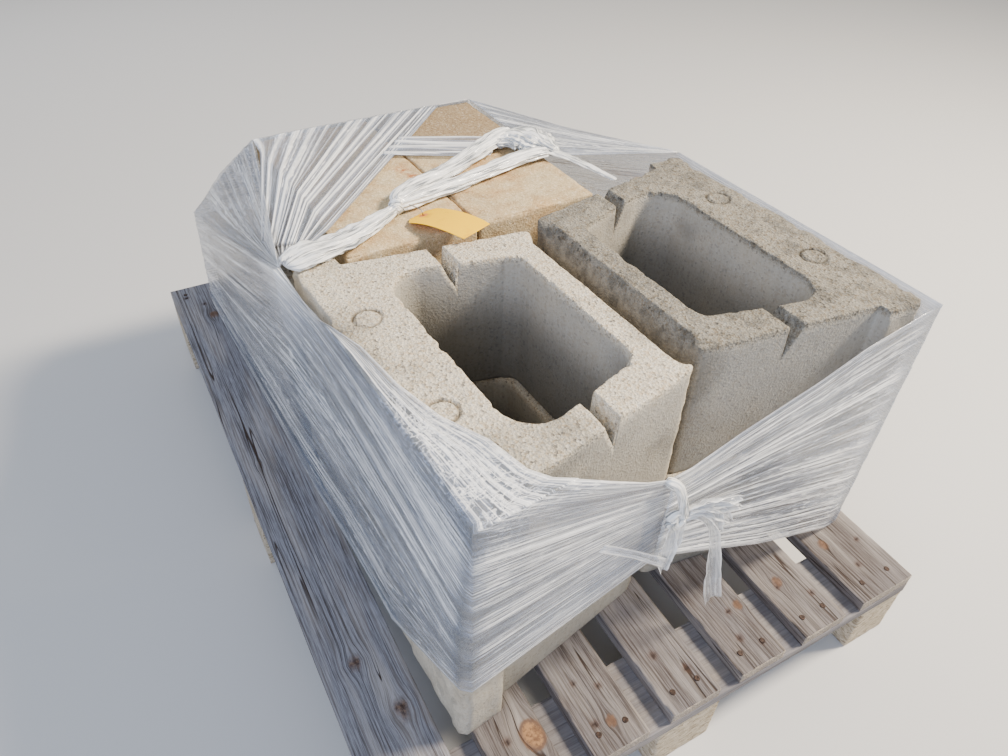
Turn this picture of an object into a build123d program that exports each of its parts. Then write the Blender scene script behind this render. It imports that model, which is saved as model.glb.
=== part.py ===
"""Pallet of concrete blocks: a wooden block pallet loaded with hollow split-face wall
blocks and two solid blocks, wrapped in clear stretch film.

Millimetres, +Z up, origin at the centre of the pallet's footprint on the ground.
X runs along the pallet's short front edge, Y along its boards, the front is at -Y.
"""
import math
import os

from build123d import *

# Pallet
pallet_width = 800.0
pallet_length = 1200.0
deck_board_thickness = 20.0
stringer_thickness = 19.0
foot_height = 95.0
outer_board_width = 102.0
inner_board_width = 78.0
inner_board_count = 5
board_edge = 1.5
stringer_width = 103.0
corner_foot_width = 80.0
middle_foot_width = 100.0
foot_length = 100.0

# Split-face wall block
block_height = 203.0
block_depth = 308.0
block_face_width = 457.0
block_tail_width = 324.0
ear_length = 58.0
ear_step = 12.0
side_width_at_ear = 410.0
face_corner_cut = 8.0
tail_corner_radius = 6.0

# Core of the wall block, measured from its face
core_start = 90.0
core_end = 262.0
core_face_width = 304.0
core_tail_width = 236.0
core_face_radius = 42.0
core_tail_radius = 16.0
core_wall_step = 4.0

# Notch across the two side walls of the wall block
notch_start = 166.0
notch_end = 188.0
notch_depth = 42.0
notch_lean = 2.0

# Ring marks on the wall block's top
ring_outer_radius = 18.0
ring_line = 3.0
ring_depth = 1.5
ring_from_face = 42.0
ring_spacing = 176.0

# Bevel left on the tail where a pair of blocks was split apart
tail_bevel_height = 26.0
tail_bevel_width = 9.0

# Solid block
solid_width = 190.0
solid_length = 390.0
solid_height = 194.0
solid_joint = 3.0
solid_turn = 1.4
solid_edge = 3.0

# Stretch film and its loose ends
film_thickness = 1.5
film_clearance = 0.4
film_floor_gap = 2.0
rope_radius = 8.0
strand_radius = 7.0
tail_radius = 5.0
wire_radius = 0.8
top_knot_radius = 11.5
bunch_radius = 32.0
bunch_half_height = 13.0
band_rise = 7.0

# Nail heads
nail_radius = 4.0
nail_head_height = 0.8
nail_from_edge = 26.0

# Tag
tag_length = 108.0
tag_width = 54.0
tag_thickness = 0.8
tag_turn = -68.0
tag_rise = 15.0
tag_eyelet = 12.0
tag_hole = 1.7

deck_height = foot_height + stringer_thickness + deck_board_thickness
upper_layer = deck_height + block_height
load_top = upper_layer + block_height
load_height = load_top - deck_height
solid_top = upper_layer + solid_height

# Deck left over by two blocks in a row, shared out before, between and behind them,
# and the slit between two tails
spare_deck = pallet_length - 2 * block_face_width
front_margin = 0.346 * spare_deck
back_margin = 0.299 * spare_deck
tail_slit = 22.0
front_pair_y = -pallet_length / 2 + front_margin + block_face_width / 2
rear_pair_y = pallet_length / 2 - back_margin - block_face_width / 2

# Each wall block: middle of its tail on plan, turn of its depth direction, height
wall_blocks = {
    "upper_block_left": ((40.5 - tail_slit / 2, front_pair_y + 4.0), 3.0, upper_layer),
    "upper_block_right": ((38.5 + tail_slit / 2, front_pair_y + 24.0), 182.5, upper_layer),
    "lower_block_left": ((30.5 - tail_slit / 2, front_pair_y + 10.0), 2.4, deck_height),
    "lower_block_right": ((31.5 + tail_slit / 2, front_pair_y + 20.0), 182.2, deck_height),
    "rear_block_left": ((11.0 - tail_slit / 2, rear_pair_y + 8.0), 1.5, deck_height),
    "rear_block_right": ((11.0 + tail_slit / 2, rear_pair_y - 8.0), 181.5, deck_height),
}

# Solid blocks: middle of the joint between them, tucked in behind the front pair's ears
solid_tuck = 6.0
solid_centre = (-28.5, front_pair_y + block_face_width / 2 - solid_tuck + solid_length / 2)


def save(part, name):
    """Label a piece and write it as its own file."""
    part.label = name
    export_step(part, f"parts/{name}.step")


def turned(x, y, angle):
    """Plan vector turned by an angle in degrees."""
    cos, sin = math.cos(math.radians(angle)), math.sin(math.radians(angle))
    return x * cos - y * sin, x * sin + y * cos


def toward(start, end, distance):
    """Point moved from start toward end by a distance, in two or three axes."""
    length = math.dist(start, end)
    return tuple(a + (b - a) * distance / length for a, b in zip(start, end))


def board_positions():
    """Left edge and width of every deck board, outer boards flush with the pallet."""
    used = 2 * outer_board_width + inner_board_count * inner_board_width
    gap = (pallet_width - used) / (inner_board_count + 1)
    boards = [(-pallet_width / 2, outer_board_width)]
    start = -pallet_width / 2 + outer_board_width + gap
    for _ in range(inner_board_count):
        boards.append((start, inner_board_width))
        start += inner_board_width + gap
    boards.append((start, outer_board_width))
    return boards


def row_centres():
    """Y of the three rows of feet and of the boards across them."""
    end = pallet_length / 2 - stringer_width / 2
    return [("front", -end), ("middle", 0.0), ("back", end)]


def ear_back_width():
    """Half width of a wall block at the back of its ear, a little inside the face."""
    return (block_face_width - ear_step) / 2


def block_outline():
    """Plan outline of a wall block, face at x = 0 and tail at x = block_depth."""
    slope = (block_face_width / 2 - ear_back_width()) / ear_length
    half = [
        (0.0, block_face_width / 2 - face_corner_cut),
        (face_corner_cut, block_face_width / 2 - slope * face_corner_cut),
        (ear_length, ear_back_width()),
        (ear_length, side_width_at_ear / 2),
        (block_depth, block_tail_width / 2),
    ]
    return half + [(x, -y) for x, y in reversed(half)]


def side_at(depth):
    """Half width of a wall block behind its ear, at a distance from its face."""
    share = (depth - ear_length) / (block_depth - ear_length)
    return (side_width_at_ear + (block_tail_width - side_width_at_ear) * share) / 2


def on_block(name, depth_share, width_share):
    """Plan point on a wall block from shares of its depth and of its face width."""
    (tail_x, tail_y), turn, _ = wall_blocks[name]
    x, y = turned(block_depth * (depth_share - 1), block_face_width * width_share, turn)
    return tail_x + x, tail_y + y


def on_solids(across, along, height):
    """Point over the solid blocks from shares of their width and length off the joint."""
    x, y = turned(across * solid_width, along * solid_length, solid_turn)
    return solid_centre[0] + x, solid_centre[1] + y, height


def wall_block(name):
    """Split-face wall block with ears, core, notches, ring marks and tail bevel."""
    with BuildPart() as block:
        with BuildSketch():
            Polygon(*block_outline(), align=None)
        extrude(amount=block_height)
        tail_edges = block.edges().filter_by(Axis.Z).group_by(Axis.X)[-1]
        fillet(tail_edges, tail_corner_radius)

        # Core, with one half of its face-side wall stepped back
        with BuildSketch() as core:
            Polygon(
                (core_start, core_face_width / 2),
                (core_end, core_tail_width / 2),
                (core_end, -core_tail_width / 2),
                (core_start, -core_face_width / 2),
                align=None,
            )
            fillet(core.vertices().group_by(Axis.X)[0], core_face_radius)
            fillet(core.vertices().group_by(Axis.X)[-1], core_tail_radius)
            step_width = core_face_width / 2 - core_face_radius
            with Locations((core_start - core_wall_step, 0)):
                Rectangle(2 * core_wall_step, step_width, align=(Align.MIN, Align.MIN))
        extrude(amount=block_height, mode=Mode.SUBTRACT)

        # Notch and tail bevel run right across the block
        with BuildSketch(Plane.XZ.offset(-block_face_width / 2)):
            Polygon(
                (notch_start, block_height),
                (notch_end - notch_lean, block_height - notch_depth),
                (notch_end, block_height),
                align=None,
            )
            Polygon(
                (block_depth - tail_bevel_width, block_height),
                (block_depth, block_height - tail_bevel_height),
                (block_depth, block_height),
                align=None,
            )
        extrude(amount=block_face_width, mode=Mode.SUBTRACT)

        # Ring marks
        with BuildSketch(Plane.XY.offset(block_height)):
            with Locations(
                (ring_from_face, -ring_spacing / 2),
                (ring_from_face, ring_spacing / 2),
            ):
                Circle(ring_outer_radius)
                Circle(ring_outer_radius - ring_line, mode=Mode.SUBTRACT)
        extrude(amount=-ring_depth, mode=Mode.SUBTRACT)
    (_, turn, height) = wall_blocks[name]
    return block.part.moved(Location((*on_block(name, 0, 0), height), (0, 0, turn)))


def plate(points):
    """Flat closed film panel on three or more points, thickened along their normal."""
    first, second, last = Vector(*points[0]), Vector(*points[1]), Vector(*points[-1])
    along = (second - first).normalized()
    normal = along.cross(last - first).normalized()
    plane = Plane(origin=first, x_dir=along, z_dir=normal)
    flat = [plane.to_local_coords(Vector(*point)) for point in points]
    with BuildPart() as sheet:
        with BuildSketch(plane):
            Polygon(*[(point.X, point.Y) for point in flat], align=None)
        extrude(amount=film_thickness)
    return sheet.part


def cord(points, radius, sides=8):
    """Cord of loose film or wire with a many-sided section along a bent path."""
    with BuildPart() as piece:
        with BuildLine() as path:
            Polyline(*points)
        with BuildSketch(Plane(origin=points[0], z_dir=path.edges()[0] % 0)):
            RegularPolygon(radius, sides)
        sweep(transition=Transition.RIGHT)
    return piece.part


def lump(centre, wide, high, sides=10, steps=4):
    """Rounded lump of bunched film, many-sided rings stacked into an upright oval."""
    with BuildPart() as piece:
        for step in range(steps + 1):
            rise = 1.8 * step / steps - 0.9
            with BuildSketch(Plane.XY.offset(centre[2] + high * rise / 0.9)):
                with Locations((centre[0], centre[1])):
                    RegularPolygon(wide * math.sqrt(1 - rise * rise), sides)
        loft(ruled=True)
    return piece.part


os.makedirs("parts", exist_ok=True)

# Deck boards
for index, (left, width) in enumerate(board_positions(), start=1):
    with BuildPart() as board:
        with BuildSketch(Plane.XY.offset(deck_height - deck_board_thickness)):
            with Locations((left, 0)):
                Rectangle(width, pallet_length, align=(Align.MIN, Align.CENTER))
        extrude(amount=deck_board_thickness)
        chamfer(board.edges().group_by(Axis.Z)[-1].filter_by(Axis.Y), board_edge)
    save(board.part, f"deck_board_{index}")

# Boards across and the feet below them
for row, y in row_centres():
    with BuildPart() as stringer:
        with BuildSketch(Plane.XY.offset(foot_height)):
            with Locations((0, y)):
                Rectangle(pallet_width, stringer_width)
        extrude(amount=stringer_thickness)
    save(stringer.part, f"{row}_cross_board")
    corner_x = (pallet_width - corner_foot_width) / 2
    with BuildPart() as feet:
        with BuildSketch():
            with Locations((-corner_x, y), (corner_x, y)):
                Rectangle(corner_foot_width, foot_length)
            with Locations((0, y)):
                Rectangle(middle_foot_width, foot_length)
        extrude(amount=foot_height)
    save(feet.part, f"{row}_feet")

# Nail heads on the two open ends of every deck board
nail_y = pallet_length / 2 - nail_from_edge
with BuildPart() as nails:
    with BuildSketch(Plane.XY.offset(deck_height)):
        for left, width in board_positions():
            nail_spots = [(left + width * share, side * nail_y)
                          for share in (0.25, 0.75) for side in (-1, 1)]
            with Locations(*nail_spots):
                RegularPolygon(nail_radius, 8)
    extrude(amount=nail_head_height)
save(nails.part, "nail_heads")

# Wall blocks
for block_name in wall_blocks:
    save(wall_block(block_name), block_name)

# Solid blocks
solid_place = Location((*solid_centre, upper_layer), (0, 0, solid_turn))
for block_name, side in (("solid_block_left", -1), ("solid_block_right", 1)):
    with BuildPart() as solid:
        with BuildSketch():
            with Locations((side * (solid_width + solid_joint) / 2, 0)):
                Rectangle(solid_width, solid_length)
        extrude(amount=solid_height)
        chamfer(solid.edges().group_by(Axis.Z)[-1], solid_edge)
    save(solid.part.moved(solid_place), block_name)


def wrap_line(angle, names):
    """Line on plan just outside the block corners, as its normal and distance."""
    normal = turned(1, 0, angle)
    corners = [on_block(name, 0, side / 2) for name in names for side in (-1, 1)]
    reach = max(normal[0] * x + normal[1] * y for x, y in corners)
    return normal, reach + film_clearance


def meet(first, second):
    """Plan point where two wrap lines cross."""
    (a, b), p = first
    (c, d), q = second
    det = a * d - b * c
    return (p * d - b * q) / det, (a * q - p * c) / det


def along_wrap(start, end, marks):
    """Points of an upright film panel from distance and height pairs."""
    return [toward(start, end, distance) + (height,) for distance, height in marks]


def run_to(start, end, name, side):
    """Distance along a wrap line to the point nearest a block's face corner."""
    x, y = on_block(name, 0, side / 2)
    length = math.dist(start, end)
    return ((x - start[0]) * (end[0] - start[0]) + (y - start[1]) * (end[1] - start[1])) / length


def shrunk(points, gap=2 * film_clearance):
    """Corners of a film panel drawn in a little so that neighbouring panels stay clear."""
    centre = tuple(sum(axis) / len(points) for axis in zip(*points))
    return [toward(point, centre, gap) for point in points]


# Corners of the film wrap on plan
left_names = ["lower_block_left", "rear_block_left", "upper_block_left"]
right_names = ["lower_block_right", "rear_block_right", "upper_block_right"]
front_names = ["lower_block_left", "upper_block_left", "lower_block_right", "upper_block_right"]
left_line = wrap_line(182.0, left_names)
right_line = wrap_line(2.2, right_names)
front_line = wrap_line(273.3, front_names)
back_line = wrap_line(90.0, ["rear_block_left", "rear_block_right"])
front_left = meet(left_line, front_line)
front_right = meet(right_line, front_line)
back_left = meet(left_line, back_line)
back_right = meet(right_line, back_line)

# Heights and runs of the film wrap
end_gap = film_clearance / 2
film_low = deck_height + film_floor_gap
film_high = load_top + film_clearance
shoulder = upper_layer + film_clearance
skin = film_thickness + film_clearance
corner_rise = deck_height + 0.335 * load_height
left_run = math.dist(front_left, back_left)
right_run = math.dist(front_right, back_right)
back_run = math.dist(back_right, back_left)
front_run = math.dist(front_left, front_right)
left_peak = run_to(front_left, back_left, "upper_block_left", 1)
right_peak = run_to(front_right, back_right, "upper_block_right", -1)
corner_drop = 0.43 * block_face_width

save(plate(along_wrap(back_left, front_left, [
    (end_gap, film_low), (left_run - corner_drop, film_low + film_floor_gap),
    (left_run - end_gap, corner_rise), (left_run - end_gap, film_high),
    (left_run - left_peak, film_high), (end_gap, shoulder),
])), "film_left")
save(plate(along_wrap(front_right, back_right, [
    (end_gap, film_low), (right_run - end_gap, film_low),
    (right_run - end_gap, shoulder), (right_peak, film_high), (end_gap, film_high),
])), "film_right")
save(plate(along_wrap(back_right, back_left, [
    (end_gap, film_low), (back_run - end_gap, film_low),
    (back_run - end_gap, shoulder), (end_gap, shoulder),
])), "film_back")

# Front film drawn together in one knot
knot_run = 0.4 * front_run
knot_radius = 11.4
knot_half_gap = knot_radius + 0.6
knot_low = deck_height + 0.468 * load_height
knot_high = deck_height + 0.842 * load_height
save(plate(along_wrap(front_left, front_right, [
    (end_gap, corner_rise), (0.061 * front_run, corner_rise - film_floor_gap),
    (knot_run - knot_half_gap, knot_low), (knot_run - knot_half_gap, knot_high),
    (0.54 * knot_run, film_high - 3 * film_floor_gap), (end_gap, film_high),
])), "film_front_left")
save(plate(along_wrap(front_left, front_right, [
    (knot_run + knot_half_gap, knot_low), (front_run - end_gap, film_low),
    (front_run - end_gap, film_high), (0.909 * front_run, film_high - film_clearance),
    (0.692 * front_run, deck_height + 0.93 * load_height),
    (knot_run + knot_half_gap, knot_high),
])), "film_front_right")

# Film that rises from the wrap to the solid blocks
ledge = solid_top + film_clearance
edge_share = 1 + 2 * film_thickness / solid_width
end_share = 0.5 + film_thickness / solid_length
near_share = 16.0 / solid_length - 0.5
ridge_right = on_solids(edge_share, end_share, ledge)
ridge_left = (on_solids(-edge_share, end_share, ledge)[0], ridge_right[1], ledge)
foot_left = back_left + (shoulder + skin / 2,)
foot_right = back_right + (shoulder + skin / 2,)
peak_left = toward(front_left, back_left, left_peak) + (film_high + skin / 2,)
peak_right = toward(front_right, back_right, right_peak) + (film_high + skin / 2,)
near_left = on_solids(-edge_share, near_share, ledge)
pane_near = on_solids(edge_share, -0.154, ledge)
save(plate(shrunk([foot_left, peak_left, ridge_left])), "film_left_shoulder")
save(plate(shrunk([peak_left, near_left, ridge_left])), "film_left_ledge")
save(plate(shrunk([foot_right, foot_left, ridge_left, ridge_right])), "film_back_slope")
save(plate(shrunk([peak_right, foot_right, ridge_right])), "film_right_shoulder")
save(plate(shrunk([peak_right, ridge_right, pane_near])), "film_right_pane")

# Film folds spread over the solid blocks, and film lapped over the left block's top
save(plate([on_solids(-0.97, -0.484, ledge), on_solids(0.72, 0.484, ledge),
            on_solids(-0.97, 0.484, ledge)]), "film_fan")
lap_shares = [(0.003, 0.481), (0.029, -0.484), (0.247, -0.448), (0.201, -0.368),
              (0.110, -0.228), (0.058, 0.066)]
save(plate([on_block("upper_block_left", *share) + (film_high,) for share in lap_shares]),
     "film_lap")

# Twisted rope of film over the solid blocks, its knot, its loop and the bunch at the end
rope_z = solid_top + rope_radius + skin
strand_z = solid_top + strand_radius + film_clearance
rope_start = on_block("upper_block_left", 0.092, 0.468)
save(cord([rope_start + (load_top + rope_radius + skin + film_clearance,),
           on_solids(-1.05, -0.467, rope_z + 8), on_solids(-0.85, -0.4, rope_z + 0.2),
           on_solids(-0.535, -0.313, rope_z + 0.2)], rope_radius), "film_rope")
top_knot = on_solids(-0.436, -0.29, solid_top + top_knot_radius)
save(lump(top_knot, top_knot_radius, top_knot_radius - film_clearance), "film_knot")
with BuildPart() as loop:
    add(cord([on_solids(-0.355, -0.268, strand_z), on_solids(-0.113, -0.222, strand_z),
              on_solids(0.35, -0.11, strand_z), on_solids(0.655, -0.018, strand_z)],
             strand_radius))
    add(cord([on_solids(-0.35, -0.315, strand_z), on_solids(-0.076, -0.29, strand_z),
              on_solids(0.387, -0.24, strand_z), on_solids(0.74, -0.166, strand_z)],
             strand_radius))
save(loop.part, "film_loop")
bunch_centre = on_solids(0.88, -0.064, solid_top + bunch_half_height + film_clearance)
save(lump(bunch_centre, bunch_radius, bunch_half_height), "film_bunch")
band_end = on_block("upper_block_right", 0.434, -(side_at(0.434 * block_depth) + 0.9)
                    / block_face_width)
save(plate([on_solids(1.075, -0.069, ledge + band_rise + 1),
            on_solids(1.075, -0.136, ledge + band_rise),
            band_end + (ledge + band_rise - 1,)]), "film_band")

# Knot and loose tail at the front
front_knot = toward(front_left, front_right, knot_run)
knot_middle = (front_knot[0], front_knot[1] - film_thickness / 2, (knot_high + knot_low) / 2)
save(lump(knot_middle, knot_radius, (knot_high - knot_low) / 2), "front_knot")
tail_start = (0.7 * knot_radius, -(knot_radius + 2.9), 1.05 * knot_radius)
tail_steps = [(0, 0, 0), (22, -4, -16), (42, -4, -70), (44, -6, -150), (62, -8, -220)]
tail_path = [tuple(map(sum, zip(knot_middle, tail_start, step))) for step in tail_steps]
save(cord(tail_path, tail_radius), "front_tail")

# Tag on its wire
with BuildPart() as tag:
    tag_plane = Plane(
        origin=on_solids(-0.345, -0.354, ledge + 0.2),
        x_dir=turned(1, 0, tag_turn) + (0,),
        z_dir=turned(0, -1, tag_turn) + (0,),
    )
    with BuildSketch(tag_plane):
        with BuildLine():
            low = ThreePointArc((0, 0), (tag_length / 2, tag_rise), (tag_length, tag_rise + 2))
            high = ThreePointArc(
                (0, tag_thickness), (tag_length / 2, tag_rise + tag_thickness),
                (tag_length, tag_rise + 2 + tag_thickness),
            )
            Line(low @ 0, high @ 0)
            Line(low @ 1, high @ 1)
        make_face()
    extrude(amount=tag_width / 2, both=True)
    below_tag = tag_plane.from_local_coords((tag_eyelet, -tag_rise, 0))
    with BuildSketch(Plane(origin=below_tag, z_dir=(0, 0, 1))):
        Circle(tag_hole)
    extrude(amount=4 * tag_rise, mode=Mode.SUBTRACT)
save(tag.part, "tag")

eyelet = tag_plane.from_local_coords((tag_eyelet, 0.4 * tag_eyelet, 0))
wire_end = (top_knot[0] + 9.7, top_knot[1] - 7.6, top_knot[2] + 1)
save(cord([(eyelet.X, eyelet.Y, eyelet.Z + 0.4), (eyelet.X - 1, eyelet.Y + 3, eyelet.Z + 8),
           wire_end], wire_radius, 6), "tag_wire")
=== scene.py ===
"""Looks of a wooden pallet loaded with concrete wall blocks and held by clear stretch film.

All sizes and places in the classes are in millimetres in the part's own frame: origin at
the centre of the pallet's footprint on the ground, X along the short front edge, Y along
the boards from front to back, Z up. Meshes are written in metres.
"""
import logging
import math
from dataclasses import dataclass
from enum import Enum
from itertools import product
from typing import Sequence

import bmesh
import bpy
import numpy as np
from mathutils import Matrix, Vector


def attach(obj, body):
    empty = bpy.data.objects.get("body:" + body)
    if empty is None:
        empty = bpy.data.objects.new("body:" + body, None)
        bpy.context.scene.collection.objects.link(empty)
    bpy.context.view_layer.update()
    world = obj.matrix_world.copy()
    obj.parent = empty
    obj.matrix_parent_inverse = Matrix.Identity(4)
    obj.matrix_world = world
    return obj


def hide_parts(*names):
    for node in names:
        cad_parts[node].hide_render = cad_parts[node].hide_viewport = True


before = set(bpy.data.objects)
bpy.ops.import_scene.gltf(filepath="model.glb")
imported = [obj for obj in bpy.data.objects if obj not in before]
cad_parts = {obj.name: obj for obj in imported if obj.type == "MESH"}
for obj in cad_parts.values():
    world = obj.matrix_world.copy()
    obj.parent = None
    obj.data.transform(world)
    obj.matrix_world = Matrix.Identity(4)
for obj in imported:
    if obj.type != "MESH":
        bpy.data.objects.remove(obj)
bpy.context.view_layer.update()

LOG = logging.getLogger("pallet")
MM = 0.001
BODY = "root"
FILM_MM = 0.4
Array = np.ndarray
Socket = bpy.types.NodeSocket
Material = bpy.types.Material
Pair = tuple[float, float]
Point = tuple[float, float, float]
Net = tuple[tuple[float, tuple[Point, ...]], ...]
# Which of a grid's two directions, rows and columns, join up
OPEN, TUBE, RING = (False, False), (False, True), (True, True)


# Number work shared by every piece


def hashed(cells: Array, seed: int) -> Array:
    """Give each whole-number cell corner its own value from -1 to 1.

    Formula: the three whole numbers are multiplied by large odd numbers, added, and
    their bits folded over twice; the low sixteen bits are the value.

    Args:
        cells: whole numbers, last axis holding x, y and z.
        seed: another number mixed in, so that two calls differ.
    Returns:
        Values from -1 to 1 in the shape of cells without its last axis.
    """
    with np.errstate(over="ignore"):
        mixed = cells @ np.array([374761393, 668265263, 1440662683]) + seed * 974634777
        mixed = (mixed ^ (mixed >> 13)) * 1274126177
        mixed = mixed ^ (mixed >> 16)
    return (mixed & 0xFFFF) / 32767.5 - 1.0


def noise(points: Array, size: float | Point, seed: int, octaves: int = 1) -> Array:
    """Smooth random field over points in space.

    Formula: the values of the eight corners of a point's cell are blended with the
    smooth weight 3w2 - 2w3 along each axis; each further octave has half the cell and
    half the strength.

    Args:
        points: places in millimetres, last axis x, y, z.
        size: cell size in millimetres, one number or one for each axis.
        seed: number that picks the field.
        octaves: how many finer copies are added.
    Returns:
        Values of about -1 to 1, one for each point.
    """
    total = np.zeros(points.shape[:-1])
    strength, weight = 1.0, 0.0
    scaled = points / np.asarray(size, float)
    for octave in range(octaves):
        low = np.floor(scaled).astype(np.int64)
        part = smooth(scaled - low, 0.0, 1.0)
        for corner in np.ndindex(2, 2, 2):
            share = np.prod(np.where(np.array(corner) == 1, part, 1 - part), axis=-1)
            total += strength * share * hashed(low + np.array(corner), seed + 31 * octave)
        weight += strength
        strength *= 0.5
        scaled = scaled * 2.0 + 17.3
    return total / weight


def smooth(values: Array, low: float, high: float) -> Array:
    """Weight that runs smoothly from 0 at low to 1 at high, as 3w2 - 2w3."""
    weight = np.clip((values - low) / (high - low), 0.0, 1.0)
    return weight * weight * (3 - 2 * weight)


def bell(gap: Array, reach: float) -> Array:
    """Weight 1 where the gap is 0, falling as exp(-(gap / reach)2)."""
    return np.exp(-(gap / reach) ** 2)


def unit(vectors: Array) -> Array:
    """The same directions with length 1."""
    return vectors / np.maximum(np.linalg.norm(vectors, axis=-1, keepdims=True), 1e-9)


def joined(*columns: Array | float) -> Array:
    """Values spread to one shape and set side by side in a last axis."""
    return np.stack(np.broadcast_arrays(*columns), -1)


def lengths(line: Array, axis: int = 0) -> Array:
    """Lengths of the steps along a line or along one axis of a grid."""
    return np.linalg.norm(np.diff(line, axis=axis), axis=-1)


def turned(points: Array, angle: float) -> Array:
    """Turn plan points about the origin by an angle in degrees."""
    cos, sin = math.cos(math.radians(angle)), math.sin(math.radians(angle))
    return points @ np.array([[cos, sin], [-sin, cos]])


def circle(count: int) -> tuple[Array, Array]:
    """Angles of evenly spread places round a circle and their unit directions."""
    angle = np.linspace(0.0, 2 * np.pi, count, endpoint=False)
    return angle, joined(np.cos(angle), np.sin(angle))


def resampled(points: Sequence[Sequence[float]], count: int) -> Array:
    """Points spread evenly along a bent line.

    Args:
        points: corners of the line, in two or more axes.
        count: how many points are wanted.
    Returns:
        Array of count points, the first and last corner included.
    """
    line = np.asarray(points, float)
    run = np.concatenate([[0.0], np.cumsum(lengths(line))])
    wanted = np.linspace(0.0, run[-1], count)
    return np.stack([np.interp(wanted, run, values) for values in line.T], -1)


def curve(points: Sequence[Sequence[float]], count: int) -> Array:
    """Smooth line near control points, evenly spaced.

    Formula: corners are cut three times at a quarter and three quarters of each run,
    then the line is resampled.

    Args:
        points: control points.
        count: how many points are wanted.
    Returns:
        Array of count points that starts and ends on the first and last control point.
    """
    line = np.asarray(points, float)
    for _ in range(3):
        near = 0.75 * line[:-1] + 0.25 * line[1:]
        far = 0.25 * line[:-1] + 0.75 * line[1:]
        inner = np.stack([near, far], 1).reshape(-1, line.shape[1])
        line = np.concatenate([line[:1], inner[1:-1], line[-1:]])
    return resampled(line, count)


def frame_along(line: Array, up: Point) -> tuple[Array, Array]:
    """Unit directions square to a line.

    Args:
        line: points of the line.
        up: direction that the first one is square to as well.
    Returns:
        Directions to the side of the line, and directions across both.
    """
    ahead = unit(np.gradient(line, axis=0))
    side = unit(np.cross(ahead, up))
    return side, np.cross(side, ahead)


def normals_of(grid: Array, closed: tuple[bool, bool]) -> Array:
    """Unit normals of a grid surface.

    Formula: cross product of the differences of the two neighbours along each axis,
    with the grid joined to itself where it is closed.

    Args:
        grid: points, shape (rows, columns, 3).
        closed: whether rows and columns join up.
    Returns:
        Unit vectors in the shape of grid.
    """
    slopes = [np.roll(grid, -1, axis) - np.roll(grid, 1, axis) if joins
              else np.gradient(grid, axis=axis) for axis, joins in enumerate(closed)]
    return unit(np.cross(*slopes))


def grid_quads(rows: int, columns: int, closed: tuple[bool, bool]) -> Array:
    """Corner numbers of the quads of a grid whose points are numbered row by row.

    Args:
        rows: number of rows.
        columns: number of columns.
        closed: whether rows and columns join up.
    Returns:
        Whole numbers, shape (quads, 4).
    """
    number = np.arange(rows * columns).reshape(rows, columns)
    number = np.pad(number, [(0, int(joins)) for joins in closed], "wrap")
    return cell_corners(number)


def cell_corners(number: Array) -> Array:
    """Corner numbers of each cell of a numbered grid, shape (cells, 4)."""
    return joined(number[:-1, :-1], number[1:, :-1], number[1:, 1:],
                  number[:-1, 1:]).reshape(-1, 4)


def box_surface(xs: Array, ys: Array, zs: Array) -> tuple[Array, Array]:
    """Outer skin of a box cut at the given places, every corner shared.

    Formula: the points of a block of cells that lie on its outside are numbered, and
    each side takes its quads from that numbering.

    Args:
        xs: places of the cuts along X, rising.
        ys: places of the cuts along Y, rising.
        zs: places of the cuts along Z, rising.
    Returns:
        Points, shape (count, 3), and quads that face outwards, shape (quads, 4).
    """
    shape = (len(xs), len(ys), len(zs))
    outside = np.ones(shape, bool)
    outside[1:-1, 1:-1, 1:-1] = False
    number = np.full(shape, -1)
    number[outside] = np.arange(outside.sum())
    points = np.stack(np.meshgrid(xs, ys, zs, indexing="ij"), -1)[outside]
    quads = []
    for axis in range(3):
        for end in (0, -1):
            corners = cell_corners(np.take(number, end, axis))
            quads.append(corners[:, ::-1] if (end == 0) != (axis == 1) else corners)
    return points, np.concatenate(quads)


def rounded(points: Array, low: Array, high: Array, radius: float) -> tuple[Array, Array]:
    """Round the edges of a box surface and give its outward directions.

    Formula: each point is drawn to the nearest place of a box smaller by the radius,
    and set out again by the radius along the line between the two.

    Args:
        points: points of the skin.
        low: lowest corner of the box.
        high: highest corner of the box.
        radius: edge radius.
    Returns:
        Rounded points and unit directions.
    """
    core = np.clip(points, low + radius, high - radius)
    outward = unit(points - core)
    return core + outward * radius, outward


def near_edge(outward: Array) -> Array:
    """Weight 1 at a box's edges, where two parts of the outward direction are large."""
    return smooth(np.sort(np.abs(outward), -1)[:, 1], 0.2, 0.6)


def cuts(low: float, high: float, step: float, edge: float = 0.0) -> Array:
    """Evenly spaced places along a side, with two more near each end for its edge.

    Args:
        low: start of the side.
        high: end of the side.
        step: wanted spacing.
        edge: edge radius, or 0 for none.
    Returns:
        Places, rising.
    """
    inner = np.linspace(low + edge, high - edge, max(2, round((high - low) / step)))
    if not edge:
        return inner
    return np.concatenate([[low, low + edge / 2], inner, [high - edge / 2, high]])


def put_object(name: str, data: bpy.types.ID) -> bpy.types.Object:
    """Add an object to the scene.

    Args:
        name: object name.
        data: mesh, camera or light that it holds.
    Returns:
        The object.
    """
    made = bpy.data.objects.new(name, data)
    bpy.context.scene.collection.objects.link(made)
    return made


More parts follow.
